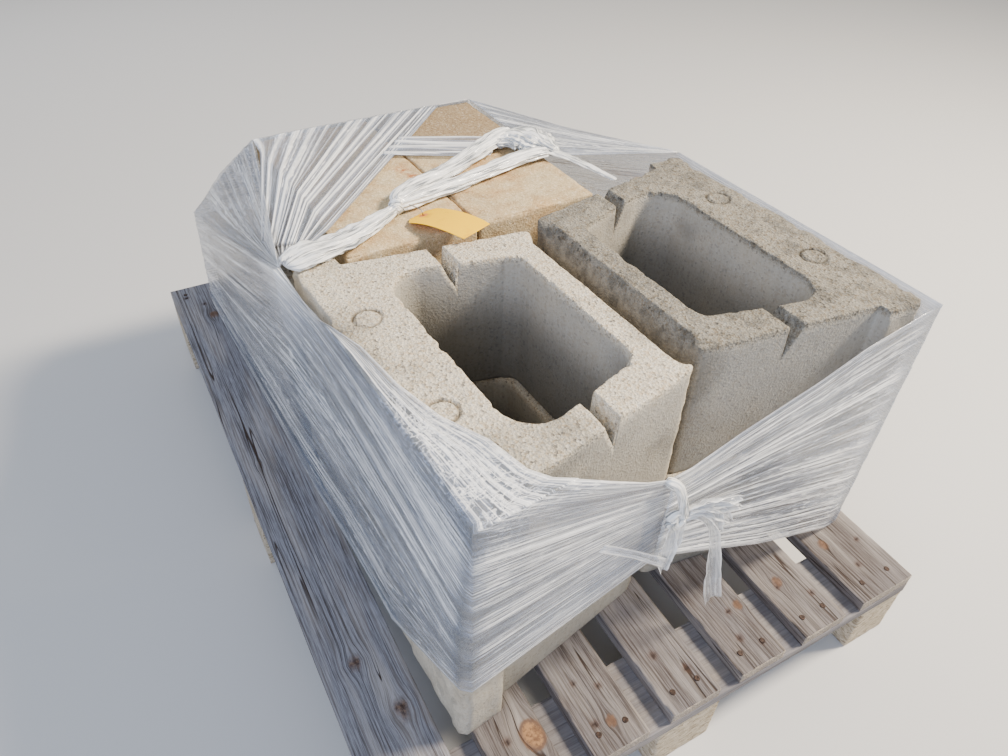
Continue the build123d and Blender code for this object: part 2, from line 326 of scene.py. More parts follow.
def put_mesh(name: str, points: Array, quads: Array, material: Material,
             nodes: Sequence[str], uv: Array | None = None,
             marks: dict[str, Array] | None = None, sheet: float = 0.0,
             weld: bool = False) -> bpy.types.Object:
    """Write a smooth-shaded mesh object in metres, at the origin, riding on the pallet.

    Args:
        name: object name.
        points: places in millimetres, last axis x, y, z.
        quads: corner numbers, shape (quads, 4).
        material: the finish.
        nodes: the part's nodes that it stands for.
        uv: place on the surface for each point, in metres.
        marks: named values, one for each point, that the finish reads.
        sheet: thickness in millimetres that a Solidify modifier adds, or 0.
        weld: join points that fall together, as at the closed end of a tube.
    Returns:
        The object.
    """
    mesh = bpy.data.meshes.new(name)
    mesh.vertices.add(points.size // 3)
    mesh.vertices.foreach_set("co", (points * MM).astype(np.float32).ravel())
    mesh.loops.add(quads.size)
    mesh.loops.foreach_set("vertex_index", quads.astype(np.int32).ravel())
    mesh.polygons.add(len(quads))
    mesh.polygons.foreach_set("loop_start", np.arange(0, quads.size, 4, dtype=np.int32))
    mesh.polygons.foreach_set("use_smooth", np.ones(len(quads), bool))
    if uv is not None:
        layer = mesh.uv_layers.new(name="along")
        corners = uv.reshape(-1, 2)[quads.ravel()]
        layer.uv.foreach_set("vector", corners.astype(np.float32).ravel())
    for mark, values in (marks or {}).items():
        layer = mesh.attributes.new(mark, "FLOAT", "POINT")
        layer.data.foreach_set("value", values.astype(np.float32).ravel())
    mesh.update(calc_edges=True)
    if weld:
        work = bmesh.new()
        work.from_mesh(mesh)
        bmesh.ops.remove_doubles(work, verts=work.verts, dist=1e-6)
        work.to_mesh(mesh)
        work.free()
    mesh.validate()
    mesh.materials.append(material)
    piece = put_object(name, mesh)
    if sheet:
        wall = piece.modifiers.new("thickness", "SOLIDIFY")
        wall.thickness = sheet * MM
        wall.offset = 0.0
    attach(piece, BODY)
    if nodes:
        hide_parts(*nodes)
    LOG.info("%s: %d points, %d faces", name, points.size // 3, len(quads))
    return piece


# Finishes


def linear(code: str) -> tuple[float, float, float, float]:
    """Turn an sRGB hex colour into the linear colour that shaders take.

    Args:
        code: number sign and six hex digits.
    Returns:
        Red, green, blue and an alpha of 1.
    """
    parts = [int(code[i:i + 2], 16) / 255 for i in (1, 3, 5)]
    red, green, blue = (p / 12.92 if p <= 0.04045 else ((p + 0.055) / 1.055) ** 2.4
                        for p in parts)
    return red, green, blue, 1.0


def per(size_mm: float) -> float:
    """Texture scale that gives features of a size in millimetres."""
    return 1.0 / (size_mm * MM)


class Finish:
    """A finish made of nodes: a tree, its coordinates and the patterns that all share."""

    # Node property that a kind's name may carry after a dot, and the output it is used for
    CHOICES = {"Math": ("operation", 0), "VectorMath": ("operation", 0),
               "Mix": ("blend_type", 2), "Attribute": ("attribute_name", 2),
               "TexVoronoi": ("feature", 0)}

    def __init__(self, name: str) -> None:
        """Start an empty material with its coordinates.

        Args:
            name: material name.
        """
        self.material = bpy.data.materials.new(name)
        self.material.use_nodes = True
        self.tree = self.material.node_tree
        self.tree.nodes.clear()
        places = self.node("TexCoord").node.outputs
        self.object_place, self.uv_place = places["Object"], places["UV"]

    def node(self, kind: str, *inputs: object, stops: Sequence[tuple[float, str]] = (),
             **named: object) -> Socket | None:
        """Add one shader node with its settings and links.

        Args:
            kind: node type without its ShaderNode prefix, and after a dot its main
                setting, as in Math.ADD or Attribute.damp.
            inputs: what its live inputs take in order: sockets, numbers or hex colours.
            stops: places from 0 to 1 with hex colours, for a colour ramp.
            named: more inputs by name, with underscores for spaces.
        Returns:
            The output that is mostly used, or nothing where the node has none.
        """
        kind, _, choice = kind.partition(".")
        node = self.tree.nodes.new("ShaderNode" + kind)
        setting, output = self.CHOICES.get(kind, ("", 0))
        if kind == "Mix":
            node.data_type = "RGBA"
        if choice:
            setattr(node, setting, choice)
        live = [socket for socket in node.inputs if socket.enabled]
        fed = list(zip(live, inputs))
        fed += [(node.inputs[key.replace("_", " ")], value) for key, value in named.items()]
        for socket, value in fed:
            if isinstance(value, Socket):
                self.tree.links.new(value, socket)
            else:
                socket.default_value = linear(value) if isinstance(value, str) else value
        for number, (place, code) in enumerate(stops):
            while len(node.color_ramp.elements) < len(stops):
                node.color_ramp.elements.new(0.5)
            node.color_ramp.elements[number].position = place
            node.color_ramp.elements[number].color = linear(code)
        return node.outputs[output] if node.outputs else None

    def marks(self, *names: str) -> list[Socket]:
        """Values that the mesh carries under some names."""
        return [self.node("Attribute." + name) for name in names]

    def grain(self, place: Socket, size_mm: float, detail: float = 2.0, rough: float = 0.5,
              warp: float = 0.0, drawn: Point = (1.0, 1.0, 1.0), turn: float = 0.0) -> Socket:
        """Smooth pattern from 0 to 1 with features of a real size.

        Args:
            place: coordinates.
            size_mm: width of the features.
            detail: how many finer layers it has.
            rough: strength of each finer layer.
            warp: how far it bends itself.
            drawn: scale of the coordinates, below 1 where features are drawn out.
            turn: degrees that the coordinates are turned by about Z.
        Returns:
            The pattern's socket.
        """
        if drawn != (1.0, 1.0, 1.0):
            place = self.node("Mapping", place, Scale=drawn,
                              Rotation=(0.0, 0.0, math.radians(turn)))
        return self.node("TexNoise", place, per(size_mm), detail, rough, Distortion=warp)

    def coat(self, below: Socket | str, colour: Socket | str, pattern: Socket, low: float,
             high: float, most: float = 1.0, how: str = "MIX") -> Socket:
        """Lay a colour over another where a pattern is strong.

        Args:
            below: colour that is covered.
            colour: colour laid on.
            pattern: value that decides.
            low: value below which nothing shows.
            high: value from which all of it shows.
            most: share of the colour there.
            how: blend type.
        Returns:
            The colour socket.
        """
        share = self.node("MapRange", pattern, low, high, 0.0, most)
        return self.node("Mix." + how, share, below, colour)

    def total(self, *terms: tuple[Socket, float]) -> Socket:
        """Sum of values, each times its share.

        Args:
            terms: value and share of each.
        Returns:
            The sum's socket.
        """
        added = 0.0
        for value, share in terms:
            added = self.node("Math.MULTIPLY_ADD", value, share, added)
        return added

    def product(self, first: Socket, *others: Socket | float) -> Socket:
        """Product of values.

        Args:
            first: value that is multiplied.
            others: values or numbers that it is multiplied by.
        Returns:
            The product's socket.
        """
        for other in others:
            first = self.node("Math.MULTIPLY", first, other)
        return first

    def dress(self, **inputs: object) -> Material:
        """Feed the shader by its inputs' names and give the material."""
        self.node("OutputMaterial", self.node("BsdfPrincipled", **inputs))
        return self.material


@dataclass(frozen=True)
class CastConcrete:
    """Dry-cast concrete: sand and crushed stone pressed in a steel mould.

    It shows fine tan, white and dark grit all over. The top is open and sandy, the mould
    faces are closed and drawn smooth along Z, and split faces show broken stone.
    """

    name: str = "dry cast concrete"
    paste: str = "#e3d9c5"
    pale: str = "#e6dfd0"
    tan: str = "#bda684"
    dark: str = "#6d675f"
    mould_tint: str = "#a9a59c"
    grit_mm: float = 3.0
    stone_mm: float = 10.0
    patch_mm: float = 60.0
    soot_mm: float = 24.0
    drag_mm: float = 4.0
    sand_mm: float = 1.6  # real sand is down to 0.3 mm and is drawn coarser

    def make(self) -> Material:
        """Build the material.

        Marks read: cast (1 on mould faces), split, the damp mark (real damp patches plus painted
        shade deep in the cores and on a shaded top) and the groove mark (painted shade in the ring
        marks).

        Returns:
            The material.
        """
        f = Finish(self.name)
        place = f.object_place
        cast, split, damp, groove = f.marks("cast", "split", "damp", "groove")
        speck = f.node("TexVoronoi", place, per(self.grit_mm))
        fleck = f.node("ValToRGB", speck.node.outputs["Color"], stops=(
            (0.0, self.dark), (0.15, self.dark), (0.2, self.paste), (0.5, self.paste),
            (0.68, self.tan), (0.8, self.pale), (1.0, "#f4eee2")))
        patch = f.grain(place, self.patch_mm, 4.0, 0.6)
        body = f.coat(self.paste, self.tan, patch, 0.35, 0.7, 0.4)
        fine = f.grain(place, self.sand_mm, 3.0, 0.7)
        sandy = f.coat(f.node("Mix", 0.66, body, fleck), "#8b857b", fine, 0.4, 0.68, 0.6,
                       "MULTIPLY")
        drag = f.grain(place, self.drag_mm, 4.0, 0.6, drawn=(1.0, 1.0, 0.06))
        closed = f.coat(self.mould_tint, "#8e8980", drag, 0.35, 0.75, 0.5)
        closed = f.coat(closed, "#b7aa94", patch, 0.45, 0.7, 0.35)
        closed = f.node("Mix", 0.17, closed, fleck)
        stone = f.node("TexVoronoi", place, per(self.stone_mm)).node.outputs["Color"]
        broken = f.node("ValToRGB", stone, stops=(
            (0.0, "#58534c"), (0.3, "#9c9384"), (0.6, "#bdb3a0"), (1.0, "#857b6c")))
        colour = f.node("Mix", cast, sandy, closed)
        colour = f.node("Mix", split, colour, f.node("Mix", 0.55, body, broken))
        # Darken by the damp mark: real damp patches, plus painted shade deep in the cores and on a
        # shaded top.
        colour = f.node("Mix.MULTIPLY", damp, colour, "#9b9ea2")
        soot = f.node("MapRange", f.grain(place, self.soot_mm, 6.0, 0.72), 0.45, 0.64)
        soot = f.product(soot, damp, f.node("Math.SUBTRACT", 1.0, cast))
        colour = f.node("Mix.MULTIPLY", soot, colour, "#b2b4b8")
        # Painted shade in the ring marks pressed into the top.
        colour = f.node("Mix.MULTIPLY", groove, colour, "#7d766b")
        pits = f.total((f.grain(place, self.grit_mm, 4.0, 0.65), 1.0), (speck, 1.0))
        pits = f.product(pits, f.node("MapRange", cast, 0.0, 1.0, 1.0, 0.3))
        relief = f.node("Bump", Height=pits, Distance=1.7 * MM, Strength=0.9)
        relief = f.node("Bump", Height=fine, Distance=0.5 * MM, Strength=0.6, Normal=relief)
        return f.dress(Base_Color=colour, Normal=relief, Roughness=0.95, IOR=1.5,
                       Specular_IOR_Level=0.25)


@dataclass(frozen=True)
class StainedConcrete:
    """Smooth cast solid block whose top has taken on tan and rust stains outdoors."""

    name: str = "stained cast concrete"
    clean: str = "#e6d3aa"
    tan: str = "#e0b67c"
    brown: str = "#634a35"
    rust: str = "#9c5524"
    patch_mm: float = 70.0
    cloud_mm: float = 26.0
    run_mm: float = 9.0
    grit_mm: float = 3.0
    sand_mm: float = 1.8  # real sand is down to 0.3 mm and is drawn coarser

    def make(self) -> Material:
        """Build the material. Marks read: the brown share (0 grey to 1 brown) and rust.

        Returns:
            The material.
        """
        f = Finish(self.name)
        place = f.object_place
        stain, rust = f.marks("stain", "rust")
        patch = f.grain(place, self.patch_mm, 5.0, 0.6, 0.4)
        cloud = f.grain(place, self.cloud_mm, 5.0, 0.68)
        body = f.coat(self.clean, self.tan, patch, 0.38, 0.6)
        body = f.coat(body, "#bfa587", cloud, 0.46, 0.62, 0.6, "MULTIPLY")
        body = f.node("Mix", stain, body, self.brown)
        speck = f.node("TexVoronoi", place, per(self.grit_mm))
        fleck = f.node("ValToRGB", speck.node.outputs["Color"], stops=(
            (0.0, "#5f5344"), (0.16, "#a89678"), (0.7, "#cbb892"), (1.0, "#f3ead6")))
        fine = f.grain(place, self.sand_mm, 3.0, 0.7)
        body = f.coat(f.node("Mix", 0.42, body, fleck), "#8a7a63", fine, 0.42, 0.64, 0.5,
                      "MULTIPLY")
        run = f.node("MapRange", f.grain(place, self.run_mm, 4.0, 0.6), 0.4, 0.62)
        body = f.node("Mix", f.product(rust, run), body, self.rust)
        relief = f.node("Bump", Height=f.total((fine, 1.0), (speck, 1.0)), Distance=0.8 * MM,
                        Strength=0.7)
        return f.dress(Base_Color=body, Normal=relief, Roughness=0.93, Specular_IOR_Level=0.25)


@dataclass(frozen=True)
class WeatheredWood:
    """Rough sawn softwood left outdoors: grey fibres, open cracks and brown patches."""

    name: str = "weathered softwood"
    # Weathered grey, bluish; at tint 0 it also paints the load's shade on the first deck board.
    grey: str = "#8b8c94"
    warm: str = "#706966"
    contrast: float = 1.0
    crack_mm: float = 19.0
    line_mm: float = 2.6
    fibre_mm: float = 1.1  # real fibres are 0.03 mm wide and are drawn coarser
    pale_mm: float = 30.0
    dirt_mm: float = 40.0
    stretch_mm: float = 60.0
    curl_mm: float = 4.0
    sawn_mm: float = 2.4

    def make(self) -> Material:
        """Build the material on the board's own coordinates, u along and v across.

        Marks read: knot, amber (fresh knot), tint (0 grey to 1 warm), hole, rust, end.

        Returns:
            The material.
        """
        f = Finish(self.name)
        place = f.uv_place
        tint, knot, amber, rust, hole, end = f.marks("tint", "knot", "amber", "rust", "hole",
                                                     "end")
        line = f.grain(place, self.line_mm, 3.0, 0.6, drawn=(0.02, 1.0, 1.0))
        fibre = f.grain(place, self.fibre_mm, 3.0, 0.7, drawn=(0.05, 1.0, 1.0))
        pale = f.grain(place, self.pale_mm, 3.0, 0.6, drawn=(0.12, 1.0, 1.0))
        dirt = f.grain(place, self.dirt_mm, 4.0, 0.65, drawn=(0.25, 1.0, 1.0))
        body = f.node("Mix", tint, self.grey, self.warm)
        for colour, pattern, low, high, most, how in (
                ("#988b82", line, 0.47, 0.6, 0.85 * self.contrast, "MULTIPLY"),
                ("#a39a92", fibre, 0.42, 0.68, 0.7 * self.contrast, "MULTIPLY"),
                ("#c0b8b0", pale, 0.45, 0.7, 0.35, "MIX"),
                ("#7f756d", dirt, 0.56, 0.72, 0.55, "MIX")):
            body = f.coat(body, colour, pattern, low, high, most, how)
        contour = f.grain(place, self.crack_mm, 1.5, 0.4, drawn=(0.028, 1.0, 1.0))
        off = f.node("Math.ABSOLUTE", f.node("Math.SUBTRACT", contour, 0.5))
        wide = f.node("MapRange", f.grain(place, self.stretch_mm, drawn=(0.1, 1.0, 1.0)), 0.38,
                      0.52, 0.0, self.contrast)
        crack = f.product(f.node("MapRange", off, 0.004, 0.010, 1.0, 0.0), wide)
        curl = f.grain(f.object_place, self.curl_mm, 3.0, 0.6)
        rim = f.product(amber, f.node("Math.SUBTRACT", 1.0, amber), 3.2)
        sawn = f.grain(f.object_place, self.sawn_mm, 3.0, 0.7)
        for share, colour in (
                (crack, "#3a2f29"), (knot, f.coat("#3d2d27", "#6f5a4c", curl, 0.4, 0.6)),
                (amber, f.coat("#6c4f39", "#987350", curl, 0.4, 0.6)), (rim, "#5d4536"),
                (rust, "#4f3529"), (hole, "#2a1e19"),
                (end, f.coat("#b9ae9f", "#7a7067", sawn, 0.4, 0.62))):
            body = f.node("Mix", share, body, colour)
        height = f.total((line, 1.0), (fibre, 0.7), (crack, -1.6))
        relief = f.node("Bump", Height=height, Distance=0.9 * MM, Strength=0.9)
        return f.dress(Base_Color=body, Normal=relief, Roughness=0.86, Specular_IOR_Level=0.3)


@dataclass(frozen=True)
class PressedChips:
    """Pallet feet pressed from coarse wood chips and glue, tan with darker flakes."""

    name: str = "pressed wood chips"
    chip_mm: float = 8.0
    bend_mm: float = 14.2857
    bend_by: float = 0.006
    dust_mm: float = 2.0

    def make(self) -> Material:
        """Build the material.

        Returns:
            The material.
        """
        f = Finish(self.name)
        place = f.object_place
        lump = f.node("TexNoise", place, per(self.bend_mm)).node.outputs["Color"]
        bent = f.node("VectorMath.MULTIPLY_ADD", lump, [self.bend_by] * 3, place)
        flat = f.node("Mapping", bent, Scale=(1.0, 1.0, 2.6))
        chip = f.node("TexVoronoi", flat, per(self.chip_mm)).node.outputs["Color"]
        fine = f.grain(flat, self.dust_mm, 4.0, 0.7)
        tint = f.coat(f.node("ValToRGB", chip, stops=(
            (0.0, "#8f7d66"), (0.3, "#c6b69c"), (0.62, "#e6dac4"), (1.0, "#b5a489"))),
            "#84705a", fine, 0.4, 0.7, 0.6, "MULTIPLY")
        edge = f.node("TexVoronoi.DISTANCE_TO_EDGE", flat, per(self.chip_mm))
        height = f.total((f.node("MapRange", edge, 0.0, 0.12), 1.0), (fine, 1.0))
        relief = f.node("Bump", Height=height, Distance=1.4 * MM, Strength=0.8)
        return f.dress(Base_Color=tint, Normal=relief, Roughness=0.88, Specular_IOR_Level=0.3)


@dataclass(frozen=True)
class RustySteel:
    """Steel nail heads left to rust: matt brown crust with darker pits."""

    name: str = "rusted steel"
    crust_mm: float = 2.5

    def make(self) -> Material:
        """Build the material.

        Returns:
            The material.
        """
        f = Finish(self.name)
        crust = f.grain(f.object_place, self.crust_mm, 4.0, 0.7)
        colour = f.node("ValToRGB", crust, stops=(
            (0.3, "#1d1512"), (0.55, "#3b2a21"), (0.75, "#5c4030")))
        relief = f.node("Bump", Height=crust, Distance=0.3 * MM, Strength=0.6)
        return f.dress(Base_Color=colour, Normal=relief, Metallic=0.35,
                       Roughness=f.node("MapRange", crust, 0.3, 0.7, 0.85, 0.55))


@dataclass(frozen=True)
class TagCard:
    """Bright yellow tag card with faint fibres and a pink patch round its eyelet."""

    name: str = "yellow tag card"
    fibre_mm: float = 1.4  # real paper fibres are 0.02 mm wide and are drawn coarser

    def make(self) -> Material:
        """Build the material. Marks read: patch (1 on the eyelet's patch) and soil.

        Returns:
            The material.
        """
        f = Finish(self.name)
        patch, soil = f.marks("patch", "soil")
        fibre = f.grain(f.uv_place, self.fibre_mm, 3.0, 0.7)
        card = f.coat("#ffcf00", "#ffbe00", fibre, 0.35, 0.7)
        card = f.node("Mix", soil, card, "#c98f1c")
        relief = f.node("Bump", Height=fibre, Distance=0.15 * MM, Strength=0.6)
        return f.dress(Base_Color=f.node("Mix", patch, card, "#e08a4a"), Normal=relief,
                       Roughness=0.62, Specular_IOR_Level=0.1)


@dataclass(frozen=True)
class TagSteel:
    """Thin bright wire that ties the tag on."""

    name: str = "tag wire steel"
    dull_mm: float = 3.0

    def make(self) -> Material:
        """Build the material.

        Returns:
            The material.
        """
        f = Finish(self.name)
        dull = f.grain(f.object_place, self.dull_mm, 2.0, 0.6)
        colour = f.node("ValToRGB", dull, stops=((0.35, "#8d8a86"), (0.65, "#c2c0bc")))
        return f.dress(Base_Color=colour, Metallic=1.0,
                       Roughness=f.node("MapRange", dull, 0.3, 0.7, 0.3, 0.5))


@dataclass(frozen=True)
class StretchFilm:
    """Clear polyethylene stretch film, pulled until it draws into streaks.

    Single film is nearly clear with a soft gloss; every pleat stacks layers, which turn
    it white. Streaks follow the pull, so they run along the sheet's own length.
    """

    name: str = "stretch film"
    sheer: float = 0.34
    full: float = 1.0
    streak_mm: float = 3.0  # real threads are about 1 mm apart and are drawn coarser
    band_mm: float = 15.0
    mass_mm: float = 42.0
    glint_mm: float = 7.0
    crumple_mm: float = 9.0
    glint_patch_mm: float = 22.0
    cross_mm: float = 4.0
    glint_fleck_mm: float = 3.2
    gap: str = "#7d858f"
    # Blue-grey of thin film, partly a painted reflection of the sky.
    thin: str = "#aebad0"

    def make(self) -> Material:
        """Build the material.

        Marks read: gather (0 single film to 1 bunched), press (1 where the film is
        pulled clear over an edge) and crumple (1 where it is crushed).

        Returns:
            The material.
        """
        f = Finish(self.name)
        place = f.uv_place
        gather, press, crumple = f.marks("gather", "press", "crumple")
        fine = f.grain(place, self.streak_mm, 4.0, 0.65, 0.1, (0.012, 1.0, 1.0))
        band = f.grain(place, self.band_mm, drawn=(0.035, 1.0, 1.0))
        bright = f.grain(place, self.glint_patch_mm, 3.0, 0.6, drawn=(0.12, 1.0, 1.0))
        crossed = f.grain(place, self.cross_mm, 2.0, 0.6, drawn=(0.03, 1.0, 1.0), turn=7.0)
        # Short white flecks along the pull: painted glints.
        glint_fleck = f.grain(place, self.glint_fleck_mm, drawn=(0.13, 1.0, 1.0))
        # Thin white lines: the film's own drawn threads, with painted glints on them.
        contour = f.grain(place, self.glint_mm, drawn=(0.012, 1.0, 1.0))
        dense = f.grain(place, self.mass_mm, 1.0, drawn=(0.05, 1.0, 1.0))
        crushed = f.grain(place, self.crumple_mm, 3.0, 0.6, 0.6)
        # Broad patches where the lines and flecks shine brighter: painted highlight, with a little
        # painted whiteness of its own.
        lit = f.node("MapRange", bright, 0.44, 0.6)
        some = f.node("MapRange", lit, 0.0, 1.0, 0.4, 1.0)
        pull = f.total(
            (f.product(f.node("MapRange", fine, 0.49, 0.59),
                       f.node("MapRange", band, 0.4, 0.6, 0.1, 1.0)), 0.75),
            (f.product(self.line(f, contour, 0.03), some), 0.75),
            (f.product(f.node("MapRange", glint_fleck, 0.55, 0.63), some), 0.6),
            (f.product(self.line(f, crushed, 0.05), crumple), 0.6),
            (lit, 0.08), (f.node("MapRange", crossed, 0.58, 0.66), 0.22))
        pull = f.product(pull, f.node("MapRange", dense, 0.42, 0.6, 0.4, 1.35))
        pull = f.product(f.node("Math.ADD", pull, gather), f.node("Math.SUBTRACT", 1.0, press))
        tone = f.node("ValToRGB", pull, stops=((0.0, self.gap), (0.14, self.thin),
                                               (0.45, "#ffffff")))
        height = f.total((fine, 1.0), (contour, 0.8), (band, 1.6),
                         (f.product(crushed, crumple), 2.5))
        relief = f.node("Bump", Height=height, Distance=2.0 * MM, Strength=0.9)
        return f.dress(Base_Color=tone, Normal=relief, Roughness=0.18, IOR=1.5, Coat_Weight=0.8,
                       Coat_Roughness=0.08,
                       Alpha=f.node("MapRange", pull, 0.0, 1.0, self.sheer, self.full))

    def line(self, f: Finish, value: Socket, width: float) -> Socket:
        """Thin line where a pattern crosses its middle value."""
        off = f.node("Math.ABSOLUTE", f.node("Math.SUBTRACT", value, 0.5))
        return f.node("MapRange", off, width * 0.2, width, 1.0, 0.0)


@dataclass(frozen=True)
class BunchedFilm:
    """Stretch film twisted into a rope or tied: many layers, white with clear glints."""

    name: str = "bunched stretch film"
    pleat_mm: float = 2.0
    deep_mm: float = 5.5

    def make(self) -> Material:
        """Build the material. The pleats run along the sheet's own length.

        Returns:
            The material.
        """
        f = Finish(self.name)
        pleat = f.grain(f.uv_place, self.pleat_mm, 3.0, 0.6, 0.2, (0.05, 1.0, 1.0))
        deep = f.grain(f.uv_place, self.deep_mm, drawn=(0.08, 1.0, 1.0))
        both = f.total((pleat, 0.55), (deep, 0.5))
        tone = f.node("ValToRGB", both, stops=((0.41, "#7c838a"), (0.47, "#d0d3d3"),
                                               (0.53, "#fffefb")))
        relief = f.node("Bump", Height=both, Distance=2.4 * MM, Strength=0.9)
        return f.dress(Base_Color=tone, Normal=relief, Roughness=0.28, IOR=1.5, Coat_Weight=0.6,
                       Coat_Roughness=0.12,
                       Alpha=f.node("MapRange", both, 0.38, 0.54, 0.55, 0.97))


# Concrete blocks


@dataclass
class Block:
    """Pose of one wall block: middle of its tail on plan, turn in degrees, base height.

    Cell is the spacing of its points, seed picks its roughness, and the last number
    is how much painted shade darkens its top, from 0 to 1.
    """

    tail: Pair
    turn: float
    base: float
    cell: float
    seed: int
    damp: float = 0.0


@dataclass
class WallBlock:
    """Split-face wall block, one closed skin that runs up its outside and down its core.

    Lengths follow the part: u is measured from the face to the tail, v to each side.
    """

    height: float = 203.0
    depth: float = 308.0
    face_half: float = 228.5
    ear_back_half: float = 222.5
    ear_length: float = 58.0
    side_half: float = 205.0
    tail_half: float = 162.0
    tail_radius: float = 6.0
    corner_cut: float = 8.0
    core_start: float = 90.0
    core_end: float = 262.0
    core_face_half: float = 152.0
    core_tail_half: float = 118.0
    core_radii: Pair = (42.0, 16.0)
    notch: Point = (166.0, 188.0, 42.0)
    notch_lean: float = 2.0
    ring_from_face: float = 42.0
    ring_offset: float = 88.0
    ring_radius: float = 16.5
    ring_depth: float = 3.2
    ring_reach: float = 20.0
    ear_width: float = 76.0
    bevel_width: float = 15.0
    bevel_height: float = 26.0
    edge: float = 2.5
    split_relief: float = 7.0
    middle_share: float = 0.35
    ear_inset: float = 17.0
    worn_depth: float = 3.4
    worn_reach: float = 6.0
    mark_cell: float = 1.8
    hidden_cell: float = 6.0
    # Share of the wall where each strip of the top starts and ends, and its width
    strips: tuple[Point, ...] = ((0.08, 0.26, 20.0), (0.28, 0.68, 36.0), (0.71, 0.92, 22.0))
    underside: float = 84.0

    def arc(self, centre: Pair, radius: float, start: float, end: float, count: int) -> Array:
        """Points on a plan arc between two angles in degrees."""
        angles = np.radians(np.linspace(start, end, count))
        return np.array(centre) + radius * joined(np.cos(angles), np.sin(angles))

    def mark_step(self, cell: float) -> float:
        """Spacing over the ring marks, fine only on a block whose top can be seen."""
        return self.mark_cell if cell < self.hidden_cell else cell

    def half_lines(self, cell: float) -> tuple[Array, Array, Array]:
        """Outer, middle and core outline of one half, from the face's middle to the tail's.

        Formula: all outlines have the same number of points, so that a line through
        three partners crosses the wall; beside the notch the partners share their depth,
        and behind the ear the middle outline keeps the lines inside the block.

        Args:
            cell: wanted spacing in millimetres.
        Returns:
            Three arrays of (u, v) points.
        """
        def count(length: float) -> int:
            """Number of points along a length."""
            return max(3, round(length / cell) + 1)

        near_r, far_r = self.core_radii
        slope = (self.core_face_half - self.core_tail_half) / (self.core_end - self.core_start)
        face_v = self.core_face_half - near_r
        # Face wall, with closer lines over the ring mark
        ring_start, ring_end = (self.ring_offset + side * self.ring_reach for side in (-1, 1))
        end_v = self.face_half - self.corner_cut
        marks = np.concatenate([
            np.linspace(0, ring_start - 2, count(ring_start - 2)),
            np.linspace(ring_start, ring_end,
                        max(4, round((ring_end - ring_start) / self.mark_step(cell)))),
            [ring_end + 1.5]])
        outer = [joined(0.0, np.where(marks < ring_end + 0.1, marks, end_v - self.ear_width - 4))]
        core = [joined(self.core_start, marks * (face_v - 1) / marks[-1])]
        # Ear and the core's near corner
        back = self.ear_length
        ear = np.concatenate([resampled(pair, count(length)) for pair, length in (
            (((0, end_v - self.ear_width), (0, end_v)), self.ear_width),
            (((self.corner_cut, self.face_half - 1), (back - 1, self.ear_back_half)),
             back - self.corner_cut),
            (((back, self.ear_back_half - 1), (back + 0.5, self.side_half + 1)), 16))])
        outer.append(ear)
        bend = self.arc((self.core_start + near_r, face_v), near_r, 180,
                        90 - math.degrees(math.atan(slope)), len(ear))
        core.append(bend)
        # Side wall, straight across at the notch
        n0, n1, _ = self.notch
        inner_end = self.core_end - far_r
        across = np.append(np.linspace(n0, n1 - self.notch_lean, count(n1 - n0)), [n1, n1 + 2.5])
        before, after = count(n0 - back), count(self.depth - 6 - n1)
        outer_u, core_u = (np.concatenate([np.linspace(start, n0 - short, before), across,
                                           np.linspace(n1 + past, end, after)])
                           for start, short, past, end in (
                               (back + 2, 3, 6, self.depth - 8),
                               (bend[-1][0] + 1, 1.5, 5, inner_end)))
        outer.append(joined(outer_u, self.side_half + (self.tail_half - self.side_half) * (
            (outer_u - back) / (self.depth - back))))
        core.append(joined(core_u, np.interp(core_u, [bend[-1][0], inner_end], [
            bend[-1][1], self.core_tail_half + slope * far_r])))
        # Tail corner and tail wall
        for line, u, v, radius in ((outer, self.depth, self.tail_half, self.tail_radius),
                                   (core, self.core_end, self.core_tail_half, far_r)):
            line.append(self.arc((u - radius, v - radius), radius, 80, 0, count(16)))
            line.append(joined(u, np.linspace(v - radius - 2, 0,
                                              count(self.tail_half - self.tail_radius))))
        outer, core = np.concatenate(outer), np.concatenate(core)
        middle = outer + self.middle_share * (core - outer)
        first, last = len(marks) + count(self.ear_width), len(marks) + len(ear)
        ahead = np.linspace(0, 1, last - first + 1)[1:, None]
        bend_at = np.array([back, self.side_half - self.ear_inset])
        middle[first:last] = middle[first - 1] * (1 - ahead) + bend_at * ahead
        behind = smooth(outer[last:, :1], back, back + 50)
        middle[last:] = ((1 - behind) * (outer[last:] - [0, self.ear_inset])
                         + behind * middle[last:])
        return outer, middle, core

    def top_at(self, u: Array, v: Array) -> Array:
        """Height of the top at a place, with the notch and the tail's bevel cut in.

        Formula: the bevel falls with the power 1.6 of the way to the tail and fades out
        towards the tail's corners.

        Args:
            u: distance of each place from the face.
            v: distance of each place from the block's middle.
        Returns:
            Height of each place.
        """
        n0, n1, deep = self.notch
        notch = np.interp(u, [n0, n1 - self.notch_lean, n1], [0.0, deep, 0.0], left=0.0,
                          right=0.0)
        share = np.clip((u - (self.depth - self.bevel_width)) / self.bevel_width, 0, 1)
        fade = smooth(self.tail_half - np.abs(v), 3.0, 34.0)
        return self.height - notch - self.bevel_height * share ** 1.6 * fade

    def skin(self, cell: float, seed: int) -> tuple[Array, dict[str, Array]]:
        """Points and marks of the whole skin in the block's own lengths.

        Formula: a point is the outer outline moved towards its partner on the core by a
        distance d that depends only on the column, at a height that is a share h of the
        top's height there; d and h run round a rectangle with rounded corners.

        Args:
            cell: wanted spacing in millimetres.
            seed: number that picks the roughness.
        Returns:
            Grid of points (rows, columns, 3) and the marks cast, split, the damp mark (real damp
            plus painted shade) and the groove mark (painted shade).
        """
        outer, middle, core = (np.concatenate([half[::-1] * [1, -1], half[1:-1]])
                               for half in self.half_lines(cell))
        wall = np.linalg.norm(core - outer, axis=-1)[:, None]
        e, full = self.edge, self.height
        level = np.linspace(e, full - e, round((full - 2 * e) / cell) + 1)
        fine = np.concatenate([
            np.linspace(start, end, round(width / step) + 1) for (start, end, width), step
            in zip(self.strips, (cell, self.mark_step(cell), cell))])
